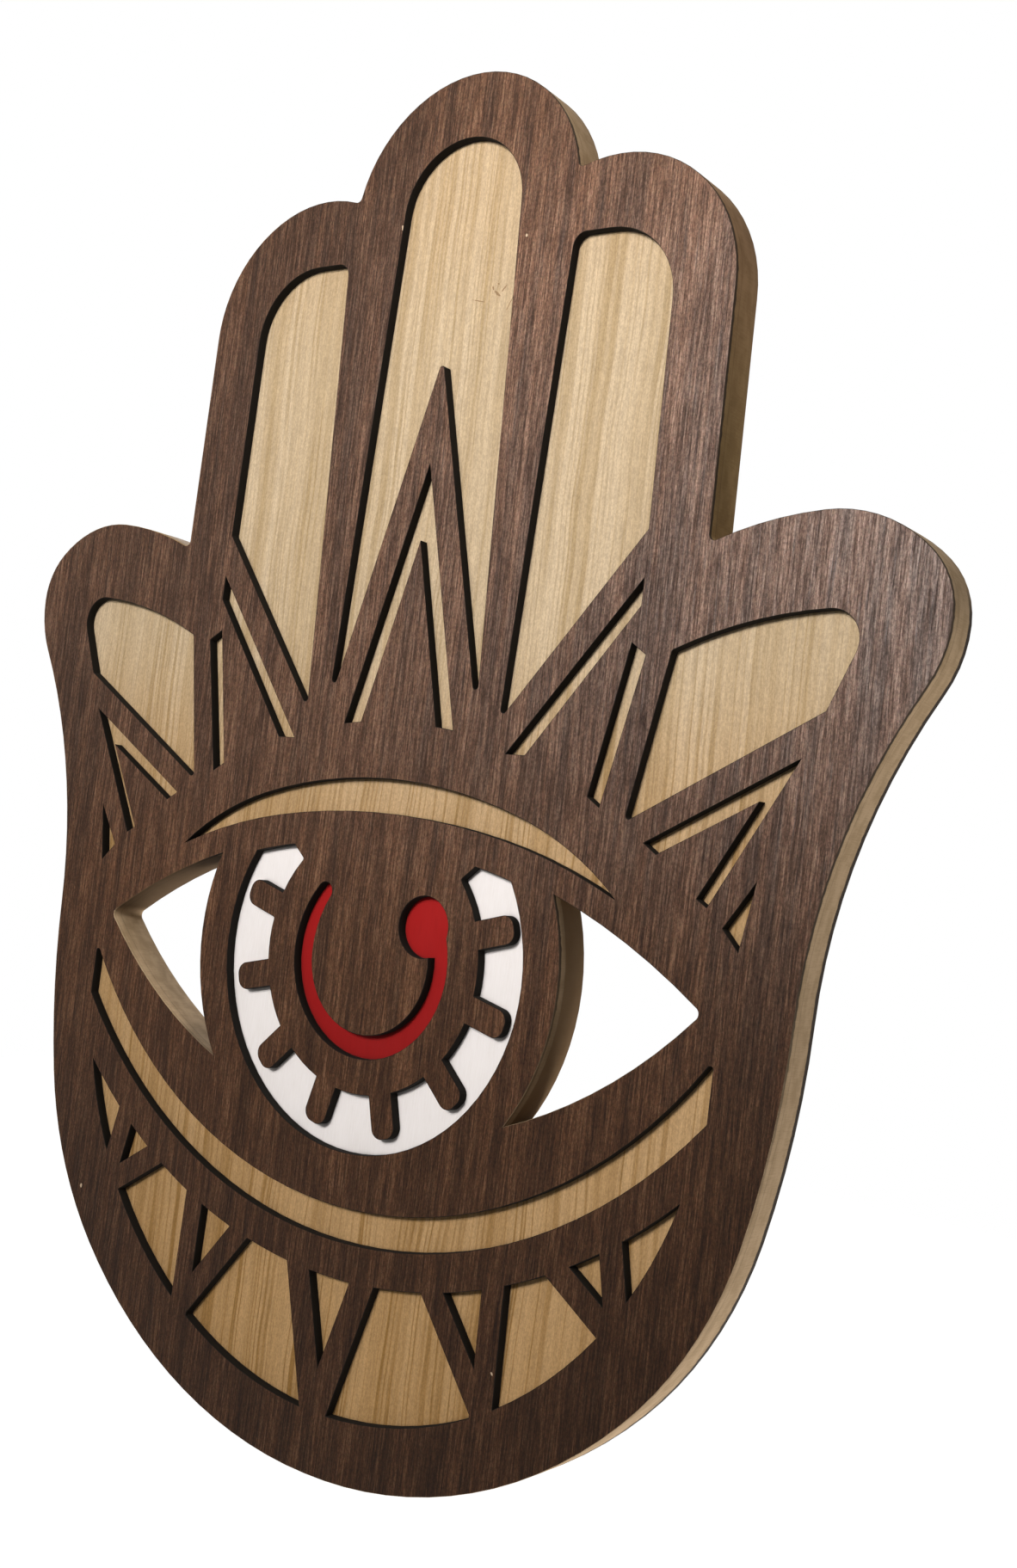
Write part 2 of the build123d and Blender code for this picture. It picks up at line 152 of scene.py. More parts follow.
@dataclass(frozen=True)
class Rim:
    """Cut edges of a flat face, seen from the front with the wood on the left of each edge.

    Attributes:
        points: X and Z of each corner.
        edges: Start and end of each edge, as places in the list of points.
    """

    points: Array
    edges: Array

    @classmethod
    def of_node(cls, name: str, depth: float) -> "Rim":
        """Read the rim of a node's flat face at one depth.

        An edge of the rim belongs to one triangle of the face, so its reverse is in no other.

        Args:
            name: Name of the node.
            depth: Y of the face.

        Returns:
            The rim.
        """
        corners, triangles = merged(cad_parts[name])
        on_face = np.abs(corners[:, 1] - depth) < MERGE_DISTANCE
        triangles = triangles[on_face[triangles].all(axis=1)]
        starts, ends = triangles.ravel(), np.roll(triangles, -1, axis=1).ravel()
        alone = ~np.isin(starts * len(corners) + ends, ends * len(corners) + starts)
        edges = np.stack([starts[alone], ends[alone]], axis=1)
        if turns(corners[:, ::2], triangles).sum() < 0:
            edges = edges[:, ::-1]
        used, places = np.unique(edges, return_inverse=True)
        return cls(corners[used][:, ::2], places.reshape(-1, 2))

    @property
    def starts(self) -> Array:
        """Return each edge's start."""
        return self.points[self.edges[:, 0]]

    @property
    def ends(self) -> Array:
        """Return each edge's end."""
        return self.points[self.edges[:, 1]]

    @property
    def middles(self) -> Array:
        """Return each edge's middle."""
        return (self.starts + self.ends) / 2

    @property
    def normals(self) -> Array:
        """Return each edge's unit normal, which points into the wood."""
        along = self.ends - self.starts
        return np.stack([-along[:, 1], along[:, 0]], axis=1) / np.linalg.norm(along, axis=1)[:, None]

    @property
    def inward(self) -> Array:
        """Work out the mitred way into the wood at each corner: (n1 + n2) / (1 + n1 . n2).

        The divisor is never less than the least mitre, which keeps a sharp corner's way short.

        Returns:
            One vector for each point.
        """
        before, after = np.zeros_like(self.points), np.zeros_like(self.points)
        before[self.edges[:, 1]] = self.normals
        after[self.edges[:, 0]] = self.normals
        return (before + after) / np.maximum(1 + (before * after).sum(axis=1), LEAST_MITRE)[:, None]

    def only(self, keep: Array) -> "Rim":
        """Return the rim with the marked edges alone, its points numbered anew."""
        used, places = np.unique(self.edges[keep], return_inverse=True)
        return Rim(self.points[used], places.reshape(-1, 2))

    def moved(self, inset: float) -> "Rim":
        """Return the rim moved into the wood."""
        return Rim(self.points + inset * self.inward, self.edges)

    def groups(self, places: Array) -> list[Array]:
        """Split places into groups whose pairs with the edges fit the memory."""
        return np.array_split(places, len(places) * len(self.edges) // PAIRS_AT_ONCE + 1)

    def distance(self, places: Array) -> Array:
        """Measure how far each place lies from the nearest edge.

        The distance to one edge is the length from the place to the edge's point at the clamped
        share (place - start) . (end - start) / |end - start|^2.

        Args:
            places: Points, one row each.

        Returns:
            One distance for each place.
        """
        starts, along = self.starts, self.ends - self.starts
        squares = (along**2).sum(axis=1)
        nearest = []
        for group in self.groups(places):
            away = group[:, None] - starts
            shares = np.clip((away * along).sum(axis=2) / squares, 0, 1)
            nearest.append(np.linalg.norm(away - shares[..., None] * along, axis=2).min(axis=1))
        return np.concatenate(nearest)

    def holds(self, places: Array) -> Array:
        """Tell which places lie inside the rim's loops, by the even-odd rule.

        A line to the right of a place crosses an edge if the edge's ends lie above and below the
        place and the crossing lies to its right; an odd count is inside.

        Args:
            places: Points, one row each.

        Returns:
            One truth value for each place.
        """
        starts, ends = self.starts, self.ends
        rises = ends[:, 1] - starts[:, 1]
        slopes = (ends[:, 0] - starts[:, 0]) / np.where(rises == 0, 1, rises)
        inside = []
        for group in self.groups(places):
            across, up = group[:, :1], group[:, 1:]
            spans = (starts[:, 1] > up) != (ends[:, 1] > up)
            right = across < starts[:, 0] + (up - starts[:, 1]) * slopes
            inside.append((spans & right).sum(axis=1) % 2 == 1)
        return np.concatenate(inside)

    def rings(self, spacing: float, insets: Array) -> Array:
        """Spread points at set distances from the rim.

        Each edge is cut into steps no longer than the spacing. The middle of a step moves along the
        edge's normal by each inset, and a corner along its bisector. A point that strays from its
        distance, because some other edge is nearer, is left out, and so is one close to another.

        Args:
            spacing: Longest step along an edge.
            insets: Distances from the rim: into the wood if positive, and out of it if negative.

        Returns:
            The points, one row each.
        """
        along = self.ends - self.starts
        counts = np.ceil(np.linalg.norm(along, axis=1) / spacing).astype(int)
        edge = np.repeat(np.arange(len(counts)), counts)
        step = np.arange(len(edge)) - np.repeat(np.cumsum(counts) - counts, counts)
        foot = self.starts[edge] + ((step + 0.5) / counts[edge])[:, None] * along[edge]
        bisectors = self.inward / np.linalg.norm(self.inward, axis=1)[:, None]
        feet, ways = np.concatenate([foot, self.points]), np.concatenate([self.normals[edge], bisectors])
        places = (feet + np.asarray(insets)[:, None, None] * ways).reshape(-1, 2)
        wanted = np.repeat(np.abs(insets), len(feet))
        places = places[np.abs(self.distance(places) - wanted) < STRAY_SHARE * wanted]
        _, first = np.unique(np.round(places / (CLOSE_SHARE * spacing)), axis=0, return_index=True)
        return places[first]


def filled(rim: Rim, scatter: Array, scored: Rim | None = None) -> tuple[Array, Array]:
    """Cut a flat face with holes into triangles that use all its points.

    The triangles are a constrained Delaunay triangulation of the rim, the scored lines and the
    scattered points. Those with their middle outside the rim are dropped.

    Args:
        rim: Outline and holes of the face.
        scatter: Further points of the face.
        scored: Lines that the triangles have to follow inside the face.

    Returns:
        The points, the rim's first and in its order, and the triangles, which turn to the left.
    """
    points, edges = np.concatenate([rim.points, scatter]), rim.edges
    if scored is not None:
        edges = np.concatenate([edges, scored.edges + len(points)])
        points = np.concatenate([points, scored.points])
    made = delaunay_2d_cdt([Vector(p) for p in points.tolist()], edges.tolist(), [], 0, MERGE_DISTANCE)
    corners = np.array([tuple(corner) for corner in made[0]])
    triangles = np.array(made[2])
    counts = [len(sources) for sources in made[3]]
    sources = np.concatenate([sources for sources in made[3] if sources]).astype(int)
    place = np.zeros(len(points), int)
    place[sources] = np.repeat(np.arange(len(corners)), counts)
    triangles = triangles[rim.holds(corners[triangles].mean(axis=1))]
    turned = turns(corners, triangles) < 0
    triangles[turned] = triangles[turned][:, ::-1]
    on_rim = place[: len(rim.points)]
    order = np.concatenate([on_rim, np.setdiff1d(place, on_rim)])
    renumber = np.zeros(len(corners), int)
    renumber[order] = np.arange(len(order))
    return corners[order], renumber[triangles]


class MeshDraft:
    """Vertices, faces and kept values of a mesh that is being made."""

    def __init__(self) -> None:
        """Start with nothing."""
        self.vertices: list[Array] = []
        self.values: dict[Kept, list[Array]] = {kept: [] for kept in Kept}
        self.faces: dict[int, list[Array]] = {3: [], 4: []}
        self.finishes: dict[int, list[Array]] = {3: [], 4: []}
        self.rims: list[Array] = []
        self.count = 0

    def add_points(
        self, flat: Array, depth: float, values: dict[Kept, Array], at_rim: bool = False
    ) -> int:
        """Add points at one depth.

        Args:
            flat: X and Z of each point.
            depth: Their Y.
            values: Values kept at them; a missing one is zero.
            at_rim: True for the rim of a flat face.

        Returns:
            The place of the first point in the draft.
        """
        start = self.count
        self.vertices.append(np.stack([flat[:, 0], np.full(len(flat), depth), flat[:, 1]], axis=1))
        for kept, rows in self.values.items():
            rows.append(np.broadcast_to(values.get(kept, 0.0), len(flat)))
        self.rims.append(np.full(len(flat), at_rim))
        self.count += len(flat)
        return start

    def add_faces(self, faces: Array, finish: Finish) -> None:
        """Add triangles or quads.

        Args:
            faces: Places of their corners, one row for each face.
            finish: Their finish.
        """
        corners = faces.shape[1]
        self.faces[corners].append(faces)
        self.finishes[corners].append(np.full(len(faces), finish.value))

    def add_wall(self, edges: Array, upper: int, lower: int) -> None:
        """Join two rows of rim points by quads that face out of the wood.

        Args:
            edges: The rim's edges.
            upper: Place of the front row's first point in the draft.
            lower: Place of the back row's first point.
        """
        first, second = edges[:, 0], edges[:, 1]
        quads = np.stack([second + upper, first + upper, first + lower, second + lower], axis=1)
        self.add_faces(quads, Finish.EDGE)

    def build(self, name: str, finishes: list[Material]) -> Piece:
        """Turn the draft into an object at the origin.

        Args:
            name: Name of the piece.
            finishes: Its materials, in the order of Finish.

        Returns:
            The object.
        """
        faces = [row for group in self.faces[3] + self.faces[4] for row in group.tolist()]
        mesh = bpy.data.meshes.new(name)
        mesh.from_pydata(np.concatenate(self.vertices).tolist(), [], faces)
        for material in finishes:
            mesh.materials.append(material)
        slots = np.concatenate(self.finishes[3] + self.finishes[4])
        mesh.polygons.foreach_set("material_index", slots.astype(np.int32))
        for kept, rows in self.values.items():
            values = np.concatenate(rows).astype(np.float32)
            mesh.attributes.new(kept.value, "FLOAT", "POINT").data.foreach_set("value", values)
        mesh.shade_smooth()
        mesh.set_sharp_from_angle(angle=SMOOTH_ANGLE)
        self.sharpen(mesh)
        return placed(name, mesh)

    def sharpen(self, mesh: bpy.types.Mesh) -> None:
        """Mark the rims of the flat faces sharp, so that the faces shade flat.

        Args:
            mesh: The finished mesh, whose bends are marked already.
        """
        ends = np.empty(2 * len(mesh.edges), np.int32)
        mesh.edges.foreach_get("vertices", ends)
        sharp = np.empty(len(mesh.edges), bool)
        mesh.edges.foreach_get("use_edge_sharp", sharp)
        at_rim = np.concatenate(self.rims)[ends.reshape(-1, 2)].all(axis=1)
        mesh.edges.foreach_set("use_edge_sharp", sharp | at_rim)


@dataclass(frozen=True)
class Fade:
    """Smooth change of a share between two places, which are given in millimetres."""

    low: float
    high: float
    start: float = 0.0
    end: float = 1.0


class Graph:
    """Short ways to lay the nodes of one material or node group."""

    def __init__(self, tree: Tree) -> None:
        """Work on one node tree."""
        self.tree = tree

    def add(self, kind: str, inputs: dict[str | int, Feed] | None = None, **settings: Feed) -> Node:
        """Add a node.

        Args:
            kind: The node's type, without its ShaderNode prefix.
            inputs: Sockets or values for its inputs, by name or place.
            settings: Values of its own properties.

        Returns:
            The node.
        """
        node = self.tree.nodes.new(f"ShaderNode{kind}")
        for name, value in settings.items():
            setattr(node, name, value)
        for name, value in (inputs or {}).items():
            self.feed(node.inputs[name], value)
        return node

    def feed(self, socket: Socket, value: Feed) -> None:
        """Link a socket to another, or set its value.

        Args:
            socket: The input to feed.
            value: A socket, a number, a vector or a colour.
        """
        if isinstance(value, Socket):
            self.tree.links.new(value, socket)
        elif socket.type == "RGBA":
            socket.default_value = (*value, 1.0)
        else:
            socket.default_value = value

    def math(self, operation: str, first: Feed, *others: Feed, clamp: bool = False) -> Socket:
        """Do a sum on some numbers, taken in turn from the left.

        Args:
            operation: What is done with each further number.
            first: The first number.
            others: The further ones. A sum on one number needs none.
            clamp: True to hold the result between 0 and 1.

        Returns:
            The result.
        """
        for other in others or (0.0,):
            inputs = {0: first, 1: other}
            first = self.add("Math", inputs, operation=operation, use_clamp=clamp).outputs[0]
        return first

    def product(self, *values: Feed) -> Socket:
        """Return the product of some numbers."""
        return self.math("MULTIPLY", *values)

    def total(self, *values: Feed) -> Socket:
        """Return the total of some numbers."""
        return self.math("ADD", *values)

    def most(self, *values: Feed) -> Socket:
        """Return the largest of some numbers."""
        return self.math("MAXIMUM", *values)

    def rest(self, share: Feed) -> Socket:
        """Return what a share leaves of one."""
        return self.math("SUBTRACT", 1.0, share)

    def vector(self, operation: str, first: Feed, second: Feed = (0, 0, 0)) -> Socket:
        """Return the result of a sum on two vectors."""
        node = self.add("VectorMath", {0: first, 1: second}, operation=operation)
        return node.outputs["Value" if operation == "LENGTH" else "Vector"]

    def mix(self, share: Feed, first: Feed, second: Feed, blend: str = "MIX") -> Socket:
        """Return a mix of two colours."""
        node = self.add("Mix", {0: share, 6: first, 7: second}, data_type="RGBA", blend_type=blend)
        return node.outputs[2]

    def times(self, colour: Feed, factor: Feed, share: Feed = 1.0) -> Socket:
        """Return a colour multiplied by a number or a tint, by the share given."""
        return self.mix(share, colour, factor, "MULTIPLY")

    def spread(self, value: Feed, low: float, high: float, start: float = 0.0, end: float = 1.0) -> Socket:
        """Return a value spread smoothly from one range to another, and held at its ends."""
        inputs = {"Value": value, "From Min": low, "From Max": high, "To Min": start, "To Max": end}
        return self.add("MapRange", inputs, interpolation_type="SMOOTHSTEP").outputs[0]

    def between(self, share: Feed, start: float, end: float) -> Socket:
        """Return a share spread between two values."""
        return self.spread(share, 0.0, 1.0, start, end)

    def fade(self, value: Feed, fade: Fade, origin: float = 0.0) -> Socket:
        """Return the share that a fade gives at a value, its places counted from an origin."""
        return self.spread(value, origin + fade.low * MM, origin + fade.high * MM, fade.start, fade.end)

    def axes(self, place: Feed) -> tuple[Socket, Socket, Socket]:
        """Return the X, Y and Z of a place."""
        return tuple(self.add("SeparateXYZ", {0: place}).outputs)

    def vary(self, place: Feed, inputs: dict[str, Feed]) -> Node:
        """Add a noise that is read at a place."""
        return self.add("TexNoise", {"Vector": place, "Scale": 1.0} | inputs)

    def noise(
        self, place: Feed, size: Triple, detail: float = 2.0, roughness: float = 0.5, seed: float = 0.0
    ) -> Socket:
        """Lay smooth noise.

        Args:
            place: Where it is read.
            size: Size of its lumps along X, Y and Z, in millimetres.
            detail: How many finer layers it has.
            roughness: How strong they are.
            seed: Number that sets this noise apart from the others.

        Returns:
            A value from 0 to 1.
        """
        scaled = self.vector("MULTIPLY", place, tuple(1 / (length * MM) for length in size))
        shifted = self.vector("ADD", scaled, (seed, seed, seed))
        return self.vary(shifted, {"Detail": detail, "Roughness": roughness}).outputs[0]

    def group(self, effect: Tree, inputs: dict[str, Feed]) -> Node:
        """Place a node group.

        Args:
            effect: The group.
            inputs: Sockets or values for its inputs, by name.

        Returns:
            The group's node.
        """
        node = self.tree.nodes.new("ShaderNodeGroup")
        node.node_tree = effect
        for name, value in inputs.items():
            self.feed(node.inputs[name], value)
        return node


def new_effect(name: str, inputs: dict[str, str], outputs: dict[str, str]) -> tuple[Graph, Feed, Feed]:
    """Start a node group.

    Args:
        name: Name of the group.
        inputs: Kind of each input socket, by name: Float, Color or Vector.
        outputs: Kind of each output socket, by name.

    Returns:
        The group's graph, its inputs to read from, and its outputs to feed.
    """
    tree = bpy.data.node_groups.new(name, "ShaderNodeTree")
    for direction, sockets in (("INPUT", inputs), ("OUTPUT", outputs)):
        for socket, kind in sockets.items():
            tree.interface.new_socket(socket, in_out=direction, socket_type=f"NodeSocket{kind}")
    source, sink = tree.nodes.new("NodeGroupInput"), tree.nodes.new("NodeGroupOutput")
    return Graph(tree), source.outputs, sink.inputs


class Sheets:
    """Depths of the stacked sheets, and how the look of an open cut changes from place to place.

    The depths and the iris's centre are worked out from the frame. Painted light and shade and a
    tint multiply the wood's colour, and brown and char are shares mixed into it, partly as painted
    shade. The back line is painted shadow.
    """

    front_face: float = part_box("front_fretwork")[0].y
    sheet_back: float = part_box("front_fretwork")[1].y
    back_face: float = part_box("core_board")[1].y
    pupil_low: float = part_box("pupil_inset")[0].z
    pupil_high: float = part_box("pupil_inset")[1].z
    iris_across: float = -1.0 * MM
    iris_centre: Triple = (iris_across, 0.0, (pupil_low + pupil_high) / 2)
    iris: Fade = Fade(66.5, 68.5, 1.0, 0.0)
    # Browner iris sides: burnt wood and painted shade deep in the opening.
    iris_burn_and_shade: float = 0.85
    inside_outline: Fade = Fade(126, 132, 1.0, 0.0)
    at_outline: Fade = Fade(126, 132)
    behind_sheet: Fade = Fade(0, 0.2, 0.35, 1.0)
    # Painted light at the left opening and at the fingers' tops, and painted shade down the right finger,
    # which the thumb shades.
    left_painted_light: Fade = Fade(-75, -65, 1.75, 1.0)
    above_crotch: Fade = Fade(-84, -76)
    finger_side: Fade = Fade(92, 100, 1.0, 0.0)
    finger_painted_shade: float = 0.40
    top_painted_light: Fade = Fade(12, 42, 1.0, 2.15)
    top_tint: Fade = Fade(12, 42, 1.0, 0.1)
    ruddy_top: Fade = Fade(-50, 20)
    # Painted shade on the eye openings' upper sides, which face down, mixed toward brown and char.
    eye_top_painted_shade: Fade = Fade(-189, -186, 0.0, 0.9)
    eye_top_shade_char: float = 0.5
    ragged: float = 0.9 * MM
    front_burn: Fade = Fade(0.7, 1.2, 0.92, 0.0)
    front_burn_up: Fade = Fade(-250, -170, 0.15, 1.0)
    front_burn_left: Fade = Fade(-75, -65, 0.2, 1.0)
    # The back line is painted shadow of the edge, drawn as a dark band at the back arris.
    back_painted_shadow: Fade = Fade(-2.35, -1.85, 0.0, 0.98)
    back_painted_shadow_up: Fade = Fade(-88, -78, 1.0, 0.1)
    seam: Fade = Fade(0.1, 0.3, 0.2, 0.0)


class Effects:
    """Node groups that several finishes share."""

    def __init__(self) -> None:
        """Build each group once."""
        self.grain = self.make_grain()
        self.scorch = self.make_scorch()
        self.cut = self.make_cut()
        self.mark = self.make_mark()

    def make_grain(self) -> Tree:
        """Make upright wood grain.

        The place is divided by the fibre's width and length, and swayed sideways by a slow noise.
        Fibres are a noise of it, pores are the peaks of a second one, and the figure is a slow one.
        Specks and the tint are fine noises of the swayed place itself.

        Returns:
            A group that turns a place into values from 0 to 1, and a tint that varies round mid-grey.
        """
        inputs = dict.fromkeys(("Fibre Width", "Fibre Length", "Waver", "Seed"), "Float")
        outputs = dict.fromkeys(("Fibre", "Pore", "Figure", "Speck"), "Float")
        inputs["Place"], outputs["Tint"] = "Vector", "Color"
        graph, source, sink = new_effect("wood_grain", inputs, outputs)
        sway = graph.noise(source["Place"], (70, 70, 110), detail=1)
        sway = graph.product(graph.math("SUBTRACT", sway, 0.5), source["Waver"])
        place = graph.vector("ADD", source["Place"], graph.add("CombineXYZ", {"X": sway}).outputs[0])
        narrow = graph.math("DIVIDE", 1.0, source["Fibre Width"])
        upright = graph.math("DIVIDE", 1.0, source["Fibre Length"])
        density = graph.add("CombineXYZ", {"X": narrow, "Y": narrow, "Z": upright}).outputs[0]
        offset = graph.add("CombineXYZ", {"X": source["Seed"], "Z": source["Seed"]}).outputs[0]
        stretched = graph.vector("ADD", graph.vector("MULTIPLY", place, density), offset)
        for name, scale, detail, roughness, low, high in (
            ("Fibre", 1.0, 3.0, 0.75, 0.28, 0.72),
            ("Pore", 0.62, 2.0, 0.6, 0.56, 0.72),
            ("Figure", 0.09, 3.0, 0.68, 0.3, 0.7),
        ):
            varied = graph.vary(stretched, {"Scale": scale, "Detail": detail, "Roughness": roughness})
            graph.feed(sink[name], graph.spread(varied.outputs[0], low, high))
        speck = graph.noise(place, (0.42, 0.42, 0.75), detail=2, roughness=0.7, seed=11.0)
        graph.feed(sink["Speck"], graph.spread(speck, 0.27, 0.73))
        tints = graph.vector("MULTIPLY", place, (1 / (0.7 * MM), 1 / (0.7 * MM), 1 / (1.2 * MM)))
        graph.feed(sink["Tint"], graph.vary(tints, {"Detail": 1.0}).outputs["Color"])
        return graph.tree

    def make_scorch(self) -> Tree:
        """Make the brown haze that a laser leaves beside its cut.

        The haze is its depth times e to the power of minus the distance over the reach, and the
        reach varies with a noise.

        Returns:
            A group that turns a distance into a value from 0 to 1.
        """
        inputs = {"Place": "Vector", "Distance": "Float", "Reach": "Float", "Depth": "Float"}
        graph, source, sink = new_effect("laser_scorch", inputs, {"Haze": "Float"})
        uneven = graph.spread(graph.noise(source["Place"], (7, 7, 7), seed=3.0), 0.3, 0.7, 0.6, 1.4)
        reach = graph.product(source["Reach"], uneven)
        power = graph.product(graph.math("DIVIDE", source["Distance"], reach), -1.0)
        faded = graph.math("EXPONENT", power)
        graph.feed(sink["Haze"], graph.math("MULTIPLY", faded, source["Depth"], clamp=True))
        return graph.tree

    def make_cut(self) -> Tree:
        """Make the look of an open cut edge: khaki wood, burnt in a line at its front, with a line of
        painted shadow at its back.

        The iris's sides are browner, the board's more than the front sheet's, as burnt wood and as
        painted shade deep in the opening. The eye openings' upper sides, which face down, are mixed
        toward brown and char as painted shade. Painted light makes the wood lighter at the left opening
        and at the fingers' tops, and painted shade makes it darker down the right finger, which the thumb
        shades; the finger is tinted from ruddy at its top to olive at its foot. The front line fades
        toward the foot, and the back line begins below the fingers.

        Returns:
            A group that turns a place into a colour and a height.
        """
        inputs = dict.fromkeys(("Wood", "Shade", "Brown", "Char", "Ruddy", "Olive"), "Color")
        outputs = {"Color": "Color", "Height": "Float"}
        graph, source, sink = new_effect("cut_edge", {"Place": "Vector"} | inputs, outputs)
        place = source["Place"]
        across, deep, height = graph.axes(place)
        streak = graph.noise(place, (0.3, 4, 0.3), detail=2)
        blotch = graph.noise(place, (4, 3, 6), detail=3, seed=5.0)
        tone = graph.total(graph.product(streak, 0.3), graph.product(blotch, 0.7))
        colour = graph.mix(graph.spread(tone, 0.36, 0.64), source["Shade"], source["Wood"])

        # Painted shade down the right finger, which the thumb shades, and painted light at the left
        # opening and at the fingers' tops.
        above = graph.fade(height, Sheets.above_crotch)
        finger = graph.product(above, graph.fade(across, Sheets.finger_side))
        shade = graph.rest(graph.product(finger, Sheets.finger_painted_shade))
        top = graph.fade(height, Sheets.top_painted_light)
        colour = graph.times(colour, graph.product(graph.fade(across, Sheets.left_painted_light), shade, top))
        tint = graph.mix(graph.fade(height, Sheets.ruddy_top), source["Olive"], source["Ruddy"])
        colour = graph.times(colour, tint, graph.product(finger, graph.fade(height, Sheets.top_tint)))

        from_iris = graph.vector("SUBTRACT", place, Sheets.iris_centre)
        reach = graph.vector("LENGTH", graph.vector("MULTIPLY", from_iris, (1, 0, 1)))
        iris = graph.fade(reach, Sheets.iris)
        in_board = graph.fade(deep, Sheets.behind_sheet, Sheets.sheet_back)
        inner = graph.fade(reach, Sheets.inside_outline)
        # Painted shade on the eye openings' upper sides, which face down.
        upper = graph.product(graph.fade(height, Sheets.eye_top_painted_shade), inner, graph.rest(iris))
        # The iris's sides are browned as burnt wood and as painted shade deep in the opening.
        browned = graph.most(graph.product(iris, in_board, Sheets.iris_burn_and_shade), upper)
        colour = graph.mix(browned, colour, source["Brown"])
        colour = graph.mix(graph.product(upper, Sheets.eye_top_shade_char), colour, source["Char"])

        ragged = graph.noise(place, (1.5, 1.5, 2.5), detail=2, seed=9.0)
        ragged = graph.product(graph.math("SUBTRACT", ragged, 0.5), Sheets.ragged)
        depth = graph.total(deep, ragged)
        front = graph.product(
            graph.fade(depth, Sheets.front_burn, Sheets.front_face),
            graph.fade(height, Sheets.front_burn_up),
            graph.fade(across, Sheets.front_burn_left),
        )
        # Painted shadow: a dark line at the back arris, below the fingers.
        back = graph.product(
            graph.fade(depth, Sheets.back_painted_shadow, Sheets.back_face),
            graph.fade(height, Sheets.back_painted_shadow_up),
            graph.fade(reach, Sheets.at_outline),
        )
        seam = graph.math("ABSOLUTE", graph.math("SUBTRACT", deep, Sheets.sheet_back))
        # The burnt front line, the painted shadow line at the back, and the dark seam between the sheets.
        burnt = graph.most(front, back, graph.fade(seam, Sheets.seam))
        graph.feed(sink["Color"], graph.mix(burnt, colour, source["Char"]))
        graph.feed(sink["Height"], graph.math("SUBTRACT", streak, burnt))
        return graph.tree

    def make_mark(self) -> Tree:
        """Make a small straight mark, round at its ends, such as a nick or a pin knot.

        The mark is where the root of (across / half width)^2 + (along / half length)^2, made uneven
        by a noise, is below one.

        Returns:
            A group that turns a place into a value of 1 in the mark and 0 outside it.
        """
        inputs = {"Place": "Vector", "Middle": "Vector", "Lean": "Float"}
        inputs |= {"Half Length": "Float", "Half Width": "Float"}
        graph, source, sink = new_effect("small_mark", inputs, {"Mark": "Float"})
        away = graph.vector("SUBTRACT", source["Place"], source["Middle"])
        turn = {"Vector": away, "Angle": source["Lean"]}
        across, _, along = graph.axes(graph.add("VectorRotate", turn, rotation_type="Y_AXIS").outputs[0])
        across = graph.math("POWER", graph.math("DIVIDE", across, source["Half Width"]), 2.0)
        along = graph.math("POWER", graph.math("DIVIDE", along, source["Half Length"]), 2.0)
        wobble = graph.math("SUBTRACT", graph.noise(source["Place"], (0.6, 0.6, 0.6), seed=2.0), 0.5)
        reach = graph.math("SQRT", graph.total(across, along))
        reach = graph.total(reach, graph.product(wobble, 1.2))
        graph.feed(sink["Mark"], graph.spread(reach, 0.7, 1.1, 1.0, 0.0))
        return graph.tree


@dataclass(frozen=True)
class Mark:
    """Small flaw in a face, in millimetres: its middle, its lean from upright, and its half sizes."""

    across: float
    height: float
    lean: float
    half_length: float
    half_width: float


